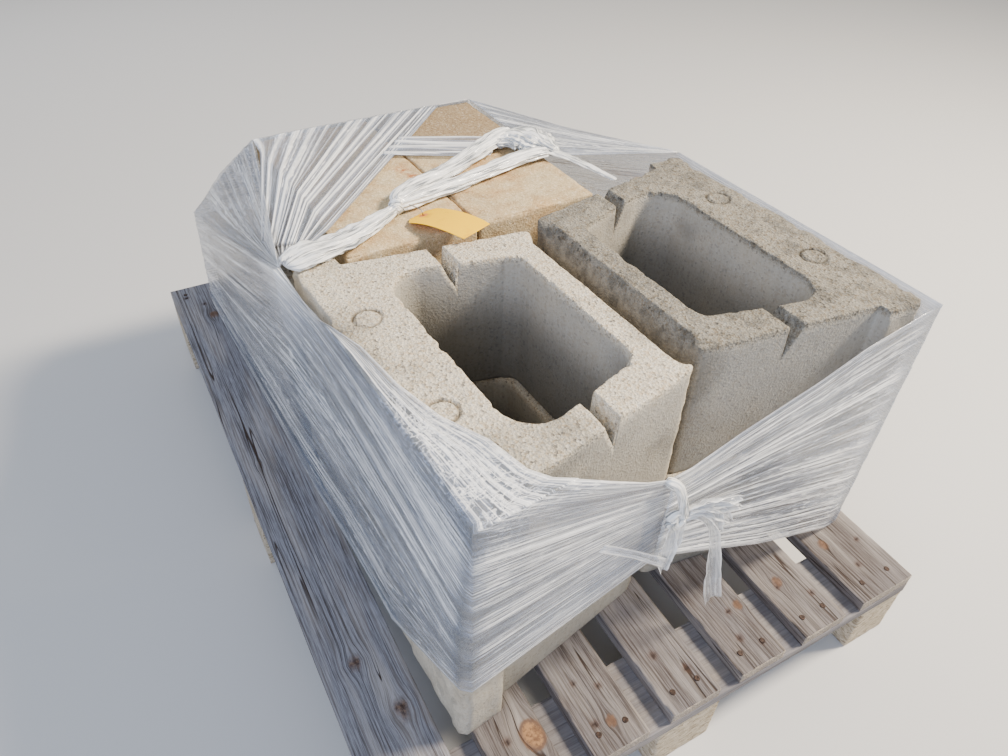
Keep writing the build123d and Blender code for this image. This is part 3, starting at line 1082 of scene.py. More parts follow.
        # Columns as (share of the wall, millimetres inwards, height)
        rows = [(0, 0, z) for z in level] + [(0, 0.3 * e, full - 0.3 * e), (0, e, full)]
        rows += [(share, 0, full) for share in fine]
        rows += [(1, -e, full), (1, -0.3 * e, full - 0.3 * e)]
        rows += [(1, 0, z) for z in level[::-1]] + [(1, -0.3 * e, 0.3 * e), (1, -e, 0)]
        rows += [(share, 0, 0) for share
                 in np.linspace(0.9, 0.1, max(3, round(self.underside / cell) // 3))]
        rows += [(0, e, 0), (0, 0.3 * e, 0.3 * e)]
        share, inward, high = np.array(rows, float).T
        across_mm = share * wall + inward
        across = share + inward / wall
        near = np.minimum(across / self.middle_share, 1.0)[..., None]
        beyond = np.maximum((across - self.middle_share) / (1 - self.middle_share), 0.0)[..., None]
        plan = outer[:, None] + (middle - outer)[:, None] * near + (core - middle)[:, None] * beyond
        top = self.top_at(plan[..., 0], plan[..., 1])
        grid = joined(plan[..., 0], plan[..., 1], high / full * top)
        on_top = smooth(grid[..., 2] / top, 0.93, 0.995)
        own = grid + [seed * 613.0, 0, 0]
        # Broken face and tail: the whole skin near them moves in or out together
        u, flat = grid[..., 0], own * [0, 1, 1]
        hills = noise(flat + [seed * 37.0, 0, 0], 55.0, 5, 3)
        facet = np.abs(noise(flat + [seed * 53.0, 9, 0], 26.0, 6, 2))
        face_move = np.maximum(self.split_relief * (0.75 * hills + 0.9 * (facet - 0.3)) + 2.5, -0.6)
        grid[..., 0] += face_move * (1 - smooth(u, 0.0, 34.0))
        tail_move = np.minimum(-2.5 + 3.0 * noise(flat + [11.0, 0, seed * 7.0], 30.0, 8, 3), 0)
        grid[..., 0] += tail_move * smooth(u, self.depth - 24, self.depth)
        ear = smooth(np.abs(grid[..., 1]), self.ear_back_half - 9, self.ear_back_half)
        grid[..., 1] -= np.sign(grid[..., 1]) * ear * (1.2 + 1.6 * noise(own, 22.0, 12, 2))
        # Ring marks pressed into the top
        worn = 0.45 + 0.55 * smooth(noise(own, 14.0, 21, 2), -0.5, 0.3)
        reach = np.hypot(u - self.ring_from_face, np.abs(grid[..., 1]) - self.ring_offset)
        # The pressed weight also paints shade into the ring marks through the colour.
        pressed = bell(reach - self.ring_radius, 2.0) * worn * on_top
        grid[..., 2] -= self.ring_depth * pressed
        # Worn top edges: the skin near an edge moves inwards and down together
        chip = self.worn_depth * smooth(noise(own, 15.0, 31, 2), 0.0, 0.6)
        chip *= 1 - 0.8 * smooth(plan[..., 0], self.depth - 30, self.depth - 12)
        for gap, way in ((across_mm, middle - outer), (wall - across_mm, middle - core)):
            loss = chip * bell(np.hypot(gap, self.height - high), self.worn_reach)
            grid[..., :2] += unit(way)[:, None] * loss[..., None]
            grid[..., 2] -= 0.8 * loss
        # Open sandy texture, coarse where the stone is broken
        sand = noise(own, 7.0, 41, 2) * (0.08 + 0.6 * on_top) + 0.25 * noise(own, 28.0, 43, 2)
        normal = normals_of(grid, RING)
        broken = np.maximum(1 - smooth(u, 2.0, 12.0), smooth(u, self.depth - 12, self.depth - 3))
        sand = sand + broken * 1.1 * noise(own, 9.0, 47, 2)
        grid = grid + normal * sand[..., None]
        grid[..., 2] = np.clip(grid[..., 2], 0.0, self.height)
        # Darker patches of real damp at random, and painted shade that deepens down inside the
        # cores.
        damp = smooth(noise(own, 90.0, 51, 3), 0.1, 0.6) * 0.6
        inside = smooth(across, 0.85, 1.0)
        damp = np.maximum(damp, 0.85 * inside * smooth(self.height - grid[..., 2], 10.0, 120.0))
        return grid, {"cast": (1 - on_top) * (1 - broken), "split": broken * 0.85,
                      "damp": damp, "groove": pressed}

    def build(self, name: str, block: Block, material: Material) -> None:
        """Make one block in its place, standing for the part's node of that name.

        Args:
            name: node and piece name.
            block: where it lies.
            material: the finish.
        """
        grid, marks = self.skin(block.cell, block.seed)
        # Painted shade darkens the top of a block whose last number is above 0.
        marks["damp"] = np.maximum(marks["damp"], block.damp * (1 - marks["cast"]))
        plan = turned(grid[..., :2] - [self.depth, 0.0], block.turn) + np.array(block.tail)
        put_mesh(name + "_cast", np.concatenate([plan, grid[..., 2:] + block.base], -1),
                 grid_quads(*grid.shape[:2], RING), material, (name,),
                 marks=marks)


WALL_BLOCKS = {
    "upper_block_left": Block((29.5, -268.54), 3.0, 337.0, 5.0, 1),
    # This block's last number, 0.85, paints shade on its top.
    "upper_block_right": Block((49.5, -248.54), 182.5, 337.0, 5.0, 2, 0.85),
    "lower_block_left": Block((19.5, -262.54), 2.4, 134.0, 7.5, 3),
    "lower_block_right": Block((42.5, -252.54), 182.2, 134.0, 7.5, 4),
    "rear_block_left": Block((0.0, 293.99), 1.5, 134.0, 11.0, 5),
    "rear_block_right": Block((22.0, 277.99), 181.5, 134.0, 11.0, 6),
}


@dataclass
class SolidBlocks:
    """Two solid blocks side by side on the rear pair."""

    centre: Pair = (-28.5, 144.96)
    turn: float = 1.4
    size: Point = (190.0, 390.0, 194.0)
    joint: float = 3.0
    base: float = 337.0
    edge: float = 3.0
    cell: float = 6.0
    chip_depth: float = 6.0
    rust_spots: tuple[Pair, ...] = ((-25.0, 0.0), (-20.0, -27.0))

    def build(self, material: Material) -> None:
        """Make both blocks with worn edges.

        Formula: a rounded box whose skin is set in by noise, more at its edges.

        Args:
            material: the finish.
        """
        width, length, _ = self.size
        for side, name in ((-1, "solid_block_left"), (1, "solid_block_right")):
            low = np.array([(side * (width + self.joint) - width) / 2, -length / 2, 0.0])
            high = low + self.size
            skin, quads = box_surface(*[cuts(a, b, self.cell, self.edge)
                                        for a, b in zip(low, high)])
            points, outward = rounded(skin, low, high, self.edge)
            own = points + [side * 500.0, 900.0, 0.0]
            chip = smooth(noise(own, 18.0, 61, 3), 0.15, 0.6) * near_edge(outward)
            rough = 0.35 * noise(own, 8.0, 62, 2) + 0.3 * noise(own, 40.0, 63, 2)
            points = points - outward * (self.chip_depth * chip + 0.5 + rough)[:, None]
            right = 1.0 if side > 0 else 0.0
            # The right block is a little brown all over and much browner over its far part.
            line = points[:, 1] + 0.55 * points[:, 0] + 14.0 * noise(own, 20.0, 64, 2)
            stain = right * (0.12 + 0.75 * smooth(line, 98.0, 116.0))
            spots = [np.hypot(points[:, 0] - x, points[:, 1] - y) for x, y in self.rust_spots]
            rust = (1 - right) * (1 - smooth(np.min(spots, axis=0), 4.0, 17.0))
            plan = turned(points[:, :2], self.turn) + np.array(self.centre)
            put_mesh(name + "_cast", np.concatenate([plan, points[:, 2:] + self.base], -1),
                     quads, material, (name,),
                     marks={"stain": stain, "rust": rust})


# Pallet


class Run(Enum):
    """Which way a board lies, as the axis that it runs along."""

    ACROSS = 0
    ALONG = 1


@dataclass
class Board:
    """One sawn board: its lowest corner, size, colour and seed.

    Knots and holes are (distance from the board's near end, distance from its left edge,
    radius); a knot's fourth number is 1 where it is fresh and amber.
    """

    low: Point
    size: Point
    run: Run
    tint: float
    seed: int
    knots: tuple[tuple[float, float, float, float], ...] = ()
    holes: tuple[Point, ...] = ()
    fine_end: float = 118.0
    step: float = 3.7
    end_step: float = 3.2
    middle_step: float = 13.0
    edge: float = 1.4

    def skin(self) -> tuple[Array, Array, Array]:
        """Skin of the board, with finer cells near both ends.

        Returns:
            Points, outward directions and quads.
        """
        low, high = np.array(self.low), np.add(self.low, self.size)
        places = [cuts(a, b, self.step, self.edge) for a, b in zip(low, high)]
        if self.run is Run.ALONG:
            near, far = low[1] + self.fine_end, high[1] - self.fine_end
            places[1] = np.concatenate([cuts(low[1], near, self.end_step, self.edge)[:-3],
                                        cuts(near, far, self.middle_step),
                                        cuts(far, high[1], self.end_step, self.edge)[3:]])
        points, quads = box_surface(*places)
        return *rounded(points, low, high, self.edge), quads

    def spots(self, far: Array, side: Array) -> tuple[Array, Array, Array, Array, Array]:
        """Marks knot, amber, hole and rust, and how far fibres bend aside at each point.

        Formula: each mark fades smoothly from its middle; fibres bend by the distance
        from the knot's middle times a bell about twice the knot's size.

        Args:
            far: distance of each point from the board's near end.
            side: distance of each point from its left edge.
        Returns:
            Five arrays, one value for each point.
        """
        knot, amber, hole, rust, bend = np.zeros((5, len(far)))
        for along, across, radius, fresh in self.knots:
            gap = np.hypot((far - along) * 0.75, side - across)
            spot = 1 - smooth(gap, 0.7 * radius, 1.1 * radius)
            amber = np.maximum(amber, spot * fresh)
            knot = np.maximum(knot, spot * (1 - fresh))
            bend -= 0.9 * (side - across) * bell(gap, 1.7 * radius)
        for along, across, radius in self.holes:
            gap = np.hypot(far - along, side - across)
            hole = np.maximum(hole, 1 - smooth(gap, 0.6 * radius, radius))
            rust = np.maximum(rust, 0.4 * (1 - smooth(gap, radius, 2.1 * radius)))
        return knot, amber, hole, rust, bend

    def build(self, name: str, material: Material) -> None:
        """Make the board in its place, standing for the part's node of that name.

        Formula: a rounded box whose top is set in by fibres stretched along the board,
        by a dish at each hole and a swelling at each knot; its own coordinates run along
        the board and across it, on over the edges, and aside round the knots.

        Args:
            name: node and piece name.
            material: the finish.
        """
        points, outward, quads = self.skin()
        along = self.run.value
        far, side, depth = (points - self.low).T[[along, 1 - along, 2]]
        depth = self.size[2] - depth
        knot, amber, hole, rust, bend = self.spots(far, side)
        top = smooth(outward[:, 2], 0.3, 0.9)
        lane = side + np.where(side > self.size[1 - along] / 2, depth, -depth) + bend * top
        coords = joined(far, lane) + [self.seed * 1700.0, self.seed * 310.0]
        fibre = noise(joined(coords[:, 0] * 0.05, coords[:, 1], 0.0), 4.5, 71, 2)
        own = points + [self.seed * 97.0, self.seed * 31.0, 0.0]
        wear = smooth(noise(own * [1, 1, 0.5], 13.0, 72, 2), 0.0, 0.7) * near_edge(outward)
        at_end = np.abs(outward[:, along]) > 0.6
        inset = 0.25 + 0.35 * fibre + 2.0 * wear + at_end * 0.7 * np.abs(noise(own, 5.0, 74, 2))
        inset += top * (1.6 * hole - 0.5 * np.maximum(knot, amber))
        points = points - outward * np.maximum(inset, 0.0)[:, None]
        tint = np.clip(self.tint + 0.2 * noise(own, 60.0, 75, 2), 0, 1)
        put_mesh(name + "_sawn", points, quads, material, (name,),
                 uv=coords * MM, marks={
                     "tint": tint, "knot": knot * top, "amber": amber * top,
                     "hole": hole * top, "rust": rust * top, "end": at_end * 0.8})


@dataclass
class Pallet:
    """Block pallet: seven deck boards, three boards across and nine feet.

    Knots and holes are listed for each deck board from the left.
    """

    width: float = 800.0
    length: float = 1200.0
    deck: float = 20.0
    across: float = 19.0
    foot: float = 95.0
    outer: float = 102.0
    inner: float = 78.0
    inner_count: int = 5
    cross_width: float = 103.0
    corner_foot: float = 80.0
    middle_foot: float = 100.0
    foot_length: float = 100.0
    foot_cell: float = 5.4
    foot_edge: float = 1.6
    cross_tint: float = 0.55
    cross_cell: float = 4.6
    # Tint of each deck board from the left; the first board's 0.0 paints it in the bluish grey of
    # the load's shade.
    tints_with_shade: tuple[float, ...] = (0.0, 0.95, 0.9, 0.8, 0.85, 0.85, 1.0)
    knots: tuple[tuple[tuple[float, float, float, float], ...], ...] = (
        ((250, 44, 9, 0), (168, 73, 10, 0), (640, 30, 5, 0), (1082, 62, 8, 0.3)),
        ((64, 62, 15, 1), (700, 50, 6, 0)),
        ((33, 43, 6, 0.3), (1010, 30, 8, 0)),
        ((1100, 30, 8, 0.4),),
        ((83, 66, 6, 0.3), (1060, 20, 7, 0)),
        ((85, 30, 7, 0.2), (1050, 44, 7, 0)),
        ((560, 66, 8, 0), (100, 26, 7, 0.3), (980, 36, 7, 0)),
    )
    holes: tuple[tuple[Point, ...], ...] = (
        ((64, 30, 3.2), (1126, 53, 3.8), (1162, 25, 3.8)),
        ((71, 31, 4), (36, 50, 3.6)),
        ((39, 23, 4.2), (78, 54, 3.6), (95, 27, 3)),
        ((78, 28, 4.4), (43, 56, 4.4)),
        ((43, 35, 4.2), (25, 57, 3), (81, 48, 3.4)),
        ((49, 61, 3.6), (78, 24, 3.4)),
        ((51, 46, 3.8), (84, 80, 3.4)),
    )

    def lanes(self) -> list[Pair]:
        """Left edge and width of each deck board.

        Returns:
            One pair for each board from the left.
        """
        widths = [self.outer] + [self.inner] * self.inner_count + [self.outer]
        gap = (self.width - sum(widths)) / (self.inner_count + 1)
        return [(-self.width / 2 + sum(widths[:index]) + index * gap, width)
                for index, width in enumerate(widths)]

    def rows(self) -> list[tuple[str, float]]:
        """Name and middle of each row of feet."""
        end = (self.length - self.cross_width) / 2
        return [("front", -end), ("middle", 0.0), ("back", end)]

    def deck_boards(self, material: Material) -> None:
        """Make the seven deck boards.

        Args:
            material: the finish.
        """
        base = self.foot + self.across
        for index, (left, width) in enumerate(self.lanes()):
            Board((left, -self.length / 2, base), (width, self.length, self.deck), Run.ALONG,
                  self.tints_with_shade[index], index + 1, self.knots[index], self.holes[index]
                  ).build(f"deck_board_{index + 1}", material)

    def cross_boards(self, material: Material) -> None:
        """Make the three boards across.

        Args:
            material: the finish.
        """
        for index, (row, y) in enumerate(self.rows()):
            Board((-self.width / 2, y - self.cross_width / 2, self.foot),
                  (self.width, self.cross_width, self.across), Run.ACROSS, self.cross_tint,
                  index + 21, step=self.cross_cell).build(f"{row}_cross_board", material)

    def feet(self, material: Material) -> None:
        """Make the nine feet, three to a piece.

        Formula: a rounded box whose sides are set in by noise at the size of the chips.

        Args:
            material: the finish.
        """
        corner = (self.width - self.corner_foot) / 2
        for row_index, (row, y) in enumerate(self.rows()):
            points, quads = [], []
            for x, width in ((-corner, self.corner_foot), (0.0, self.middle_foot),
                             (corner, self.corner_foot)):
                low = np.array([x - width / 2, y - self.foot_length / 2, 0.0])
                high = low + [width, self.foot_length, self.foot]
                skin, faces = box_surface(*[cuts(a, b, self.foot_cell, self.foot_edge)
                                            for a, b in zip(low, high)])
                placed, outward = rounded(skin, low, high, self.foot_edge)
                own = placed * [1.0, 1.0, 2.2] + [row_index * 71.0, 0, 0]
                chips = 0.9 * np.abs(noise(own, 9.0, 91, 2)) + 0.5 * noise(own, 4.0, 92)
                loss = near_edge(outward) * 4.0 * smooth(noise(own, 15.0, 93, 2), 0.1, 0.6)
                flat = 1 - smooth(np.abs(outward[:, 2]), 0.5, 0.95)
                quads.append(faces + sum(map(len, points)))
                points.append(placed - outward * (np.maximum(chips, 0) * flat + loss)[:, None])
            put_mesh(f"{row}_feet_pressed", np.concatenate(points), np.concatenate(quads),
                     material, (f"{row}_feet",))


@dataclass
class Nails:
    """Two nails at each open end of every deck board, heads driven just proud."""

    radius: float = 4.0
    rise: float = 0.8
    from_end: float = 26.0
    shares: Pair = (0.25, 0.75)
    round_cells: int = 20
    # Share of the radius and of the rise, from the foot over the rim to the middle
    rings: tuple[Pair, ...] = ((0, -0.9), (0.9, -0.9), (1, -0.3), (0.97, 0.45), (0.86, 0.95),
                               (0.6, 0.8), (0.3, 0.6), (0, 0.55))

    def build(self, pallet: Pallet, material: Material) -> None:
        """Make all heads as one piece.

        Formula: rings of a head run from its foot over a rounded rim to its middle,
        which is dished; each head leans by its own small amount.

        Args:
            pallet: the boards that carry the nails.
            material: the finish.
        """
        deck = pallet.foot + pallet.across + pallet.deck
        rings = np.array(self.rings)
        angle, around = circle(self.round_cells)
        cells = grid_quads(len(rings), self.round_cells, TUBE)[:, ::-1]
        pick = np.random.default_rng(5)
        points, quads = [], []
        for (left, width), share, end in product(pallet.lanes(), self.shares, (-1, 1)):
            lean = pick.uniform(-0.05, 0.05, 2)
            wobble = 1 + 0.05 * np.sin(3 * angle + pick.uniform(0, 6))
            flat = around * rings[:, :1, None] * (self.radius * wobble)[:, None]
            high = rings[:, 1:] * self.rise + flat @ lean + deck
            flat = flat + [left + width * share, end * (pallet.length / 2 - self.from_end)]
            quads.append(cells + len(points) * high.size)
            points.append(np.concatenate([flat, high[..., None]], -1))
        put_mesh("nail_heads_rusted", np.stack(points), np.concatenate(quads), material,
                 ("nail_heads",), weld=True)


# Tag


@dataclass
class Tag:
    """Curled shipping tag with two clipped corners and an eyelet, on its wire."""

    origin: Point = (-90.7, 5.3, 531.6)
    ahead: Pair = (0.3746, -0.9272)
    aside: Pair = (-0.9272, -0.3746)
    length: float = 108.0
    width: float = 54.0
    thickness: float = 0.5
    rise: float = 15.0
    end_rise: float = 2.0
    clip: float = 11.0
    eyelet: float = 12.0
    hole: float = 1.9
    patch: float = 6.5
    cell: float = 1.8
    round_cells: int = 120
    wire_radius: float = 0.75
    wire_path: tuple[Point, ...] = ((-86.4, -3.8, 536), (-86.6, -5.2, 540.5), (-87.2, -2, 543.6),
                                    (-92, 9, 543.8), (-99, 22, 543.6))

    def arc_height(self, far: Array) -> Array:
        """Height of the card above its low end.

        Formula: a circle through the low end, through the rise at the middle and
        through the end rise more at the high end.

        Args:
            far: distance of each place from the low end.
        Returns:
            Height of each place.
        """
        x1, y1, x2, y2 = self.length / 2, self.rise, self.length, self.rise + self.end_rise
        cx, cy = np.linalg.solve([[2 * x1, 2 * y1], [2 * x2, 2 * y2]],
                                 [x1 ** 2 + y1 ** 2, x2 ** 2 + y2 ** 2])
        return cy + np.sqrt(np.maximum(cx ** 2 + cy ** 2 - (far - cx) ** 2, 0.0))

    def card(self, material: Material) -> None:
        """Make the card.

        Formula: a grid in polar steps about the eyelet reaches from the hole to the
        card's outline, which a ray from the eyelet cuts at the nearest of its sides;
        the grid is then bent along the arc and closed with a second side below.

        Args:
            material: the finish.
        """
        half, cut = self.width / 2, self.clip
        sides = np.array([(1, 0, self.length), (-1, 0, 0), (0, 1, half), (0, -1, half),
                          (-1, 1, half - cut), (-1, -1, half - cut)])
        ray = circle(self.round_cells)[1]
        speed = ray @ sides[:, :2].T
        room = sides[:, 2] - self.eyelet * sides[:, 0]
        reach = np.min(np.where(speed > 1e-6, room / np.maximum(speed, 1e-6), np.inf), axis=1)
        steps = np.linspace(0, 1, round(self.length / self.cell))[:, None]
        radius = self.hole + (reach - self.hole) * steps
        flat = ray * radius[..., None] + [self.eyelet, 0.0]
        far, side = flat[..., 0], flat[..., 1]
        high = self.arc_height(far) + 0.6 * smooth(far, 20, 60) * noise(
            joined(far, side, 0.0), 34.0, 3)
        plan = self.origin[:2] + flat[..., :1] * self.ahead + flat[..., 1:] * self.aside
        top = joined(plan[..., 0], plan[..., 1], high + self.origin[2] + self.thickness)
        grid = np.concatenate([top, (top - [0, 0, self.thickness])[::-1]])
        both = np.concatenate([flat, flat[::-1]])
        far, side = both[..., 0], both[..., 1]
        patch = 1 - smooth(np.hypot(far - self.eyelet, side), self.patch - 0.6, self.patch)
        soil = 0.5 * smooth(noise(joined(far, side, 0.0), 18.0, 9, 3), 0.15, 0.7)
        put_mesh("tag_curled", grid, grid_quads(*grid.shape[:2], RING), material, ("tag",),
                 uv=both * MM, marks={"patch": patch, "soil": soil})

    def wire(self, material: Material) -> None:
        """Make the wire.

        Formula: a thin round tube about a smooth line through the eyelet up to the knot,
        shrunk to a point at both ends.

        Args:
            material: the finish.
        """
        line = curve(self.wire_path, 40)
        side, lift = frame_along(line, (0.3, 0.2, 0.93))
        cos, sin = circle(10)[1].T[..., None]
        size = np.full((len(line), 1, 1), self.wire_radius)
        size[[0, -1]] = 0.0
        grid = line[:, None] + size * (side[:, None] * cos + lift[:, None] * sin)
        put_mesh("tag_wire_loop", grid, grid_quads(*grid.shape[:2], TUBE)[:, ::-1], material,
                 ("tag_wire",), weld=True)


# Film


@dataclass
class FilmSheet:
    """One stretched sheet of film, given by a net of control points.

    Each key is (share across, control points along the pull). Keys with the same number
    of control points are blended across, and runs between control points are straight,
    because the film is taut. Spots pressed, pinched or crumpled are (place, reach), the
    place in two or three axes.
    """

    name: str
    replaces: tuple[str, ...]
    keys: Net
    outward: Point
    rests_on: tuple[str, ...]
    seed: int
    rows: int
    columns: int
    pleat: float = 2.2
    gather: Pair = (0.5, 0.0)
    roll: float = 0.3
    strands: int = 0
    strand_rise: float = 3.2
    pressed: tuple[tuple[float, ...], ...] = ()
    pinched: tuple[tuple[float, ...], ...] = ()
    crumpled: tuple[tuple[float, ...], ...] = ()

    def surface(self) -> tuple[Array, Array]:
        """Points of the taut sheet and its own coordinates in metres.

        Formula: control points are blended linearly between keys, then each line is
        walked at even steps of its mean length.

        Returns:
            Grid of points (rows, columns, 3) and grid of coordinates (rows, columns, 2).
        """
        shares, lines = zip(*self.keys)
        across = np.linspace(0.0, 1.0, self.rows)
        net = np.array(lines, float)
        flat = net.reshape(len(net), -1).T
        line = joined(*(np.interp(across, shares, values) for values in flat))
        line = line.reshape(self.rows, -1, 3)
        run = np.concatenate([[0.0], np.cumsum(lengths(line, 1).mean(0))])
        wanted = np.unique(np.concatenate([np.linspace(0.0, run[-1], self.columns), run]))
        low = np.clip(np.searchsorted(run, wanted, side="right") - 1, 0, len(run) - 2)
        part = ((wanted - run[low]) / (run[low + 1] - run[low]))[:, None]
        grid = line[:, low] * (1 - part) + line[:, low + 1] * part
        wide = np.percentile(lengths(grid, 0).sum(0), 70)
        return grid, joined(wanted, across[:, None] * wide) * MM

    def folds(self, share: Array) -> Array:
        """Thick folds that run along the sheet, uneven in place, width and strength.

        Formula: the sum of bells across the sheet; each bell's middle is one of evenly
        spread places moved by a random step, and wanders a little along the sheet.

        Args:
            share: place along the sheet from 0 to 1, shape (columns,).
        Returns:
            Values from 0 to 1, shape (rows, columns).
        """
        pick = np.random.default_rng(self.seed)
        across = np.linspace(0.0, 1.0, self.rows)[:, None]
        total = np.zeros((self.rows, len(share)))
        count = 2 * self.strands
        for number in range(count):
            thick = number % 2 == 0
            middle = (number + 0.5 + pick.uniform(-0.42, 0.42)) / count
            width = (0.25 if thick else 0.11) * pick.uniform(0.6, 1.3) / self.strands
            wander = 0.25 / self.strands * np.sin(share * pick.uniform(1, 4) + pick.uniform(0, 6))
            strength = pick.uniform(0.7, 1.0) if thick else 0.5
            total = np.maximum(total, strength * bell(across - middle - wander, width))
        return total

    def spots(self, grid: Array, spots: Sequence[Sequence[float]]) -> Array:
        """Weight of the nearest spots.

        Formula: 1 at a spot's place, falling as a bell by the spot's reach; the largest
        weight of all spots counts.

        Args:
            grid: points of the sheet.
            spots: place in two or three axes, then reach, of each.
        Returns:
            Values from 0 to 1, shape (rows, columns).
        """
        found = np.zeros(grid.shape[:2])
        for *place, reach in spots:
            gap = np.linalg.norm(grid[..., :len(place)] - place, axis=-1)
            found = np.maximum(found, bell(gap, reach))
        return found

    def build(self, material: Material) -> None:
        """Formula: each line is set out along the sheet's normal by noise that is fine
        across the sheet and slow along it.

        Args:
            material: the finish.
        """
        grid, coords = self.surface()
        normal = normals_of(grid, OPEN)
        normal *= np.sign((normal @ self.outward).mean())
        where = joined(12.0 * coords[..., 0], coords[..., 1] / MM, self.seed * 40.0)
        slow = noise(where, (9.0, 26.0, 50.0), self.seed, 2)
        fine = noise(where, (5.0, 6.5, 50.0), self.seed + 9, 2)
        share = np.linspace(0.0, 1.0, grid.shape[1])
        near = joined(1 - smooth(share, 0.0, 0.3), smooth(share, 0.7, 1.0))
        lift = self.pleat * (0.75 + 0.9 * slow + 0.8 * fine) * (1 + 0.6 * near @ self.gather)
        press, squeeze = self.spots(grid, self.pressed), self.spots(grid, self.pinched)
        lift = lift * (1 - 0.7 * press)
        strand = 0.0
        if self.strands:
            strand = self.folds(share)
            press = 0.8 * (1 - strand)
            ends = 1 - 0.6 * smooth(share, 0.75, 1.0)
            lift = 0.5 * lift + self.strand_rise * strand * ends
        grid = grid + normal * np.maximum(lift, -0.4)[..., None]
        edge = 0.5 - np.abs(np.linspace(-0.5, 0.5, self.rows))[:, None]
        gather = (near ** 2 @ self.gather + self.roll * bell(edge * self.rows, 2.5)
                  + 0.45 * squeeze + 0.85 * strand ** 1.3)
        quads = grid_quads(*grid.shape[:2], OPEN)
        if np.cross(grid[1, 0] - grid[0, 0], grid[0, 1] - grid[0, 0]) @ self.outward < 0:
            quads = quads[:, ::-1]
        piece = put_mesh(self.name, grid, quads, material, self.replaces,
                         uv=coords, sheet=FILM_MM, marks={
                             "gather": gather, "press": press,
                             "crumple": self.spots(grid, self.crumpled)})


def on_left(y: float, z: float) -> Point:
    """Point of the left side's film at a place along it and a height.

    It lies on the upper block's top edge at the top and on the lower blocks further down.

    Args:
        y: place along the side.
        z: height.
    Returns:
        The point.
    """
    top = -268.3 - 0.0526 * (y + 513.0)
    low = -282.6 - 0.0349 * (y + 514.0)
    share = min(1.0, max(0.0, (541.0 - z) / 204.0)) ** 0.7 if y < -57 else 1.0
    return top + (low - top) * share, y, z


def on_front(x: float, z: float) -> Point:
    """Point of the front side's film at a place along it and a height."""
    return x, -515.0 + 0.0577 * (x + 282.0), z


def side_net() -> Net:
    """Net of the big sheet: left side, pinch over the block's corner, front-left corner.

    Formula: a line with share t starts at the rear-left corner, passes the pinch, runs
    along the left side to the front-left corner and on to the front knot. Heights at
    the pinch, the corner and the knot are given for each t; between them they change
    evenly, except that the lowest line stays on the deck up to y = -317. The first line
    is the sheet's free edge, which lies on top of the block.

    Returns:
        The net.
    """
    side_ys = (-165, -244, -317, -378, -427, -475)
    edge = ((-293, -165, 541.5), (-266, -244, 542), (-255, -317, 542), (-237, -378, 542),
            (-210, -427, 542), (-197, -475, 542), (-182, -494, 541.5), (-162, -505, 541),
            (-128, -510.5, 526), (-74, -505, 490), (-36, -503, 473))
    net = [(0.0, ((-322, 516, 338), (-298, -58, 543), *edge))]
    # Share across, then heights at the rear, the pinch, the corner and the knot
    for share, rear, pinch, corner, knot in (
            (0.12, 322, 540.5, 541, 460), (0.3, 292, 510, 480, 438), (0.5, 250, 455, 410, 410),
            (0.75, 200, 310, 340, 375), (1.0, 137, 137, 269, 334)):
        line = [(-322 - 9 * (338 - rear) / 201, 516, rear),
                (on_left(-57, pinch)[0] - 7, -57, pinch)]
        for y in side_ys:
            height = pinch + (corner - pinch) * (-57 - y) / 450
            if share == 1.0:
                height = pinch + (corner - pinch) * max(0.0, (-317 - y) / 190)
            x, _, _ = on_left(y, height)
            line.append((x - 7 * math.exp(-((y + 57) / 95) ** 2), y, height))
        line += [on_left(-507, corner), (-273, -515, corner)]
        line += [on_front(x, corner + (knot - corner) * (x + 273) / 237)
                 for x in (-200, -110, -36)]
        net.append((share, tuple(line)))
    return tuple(net)


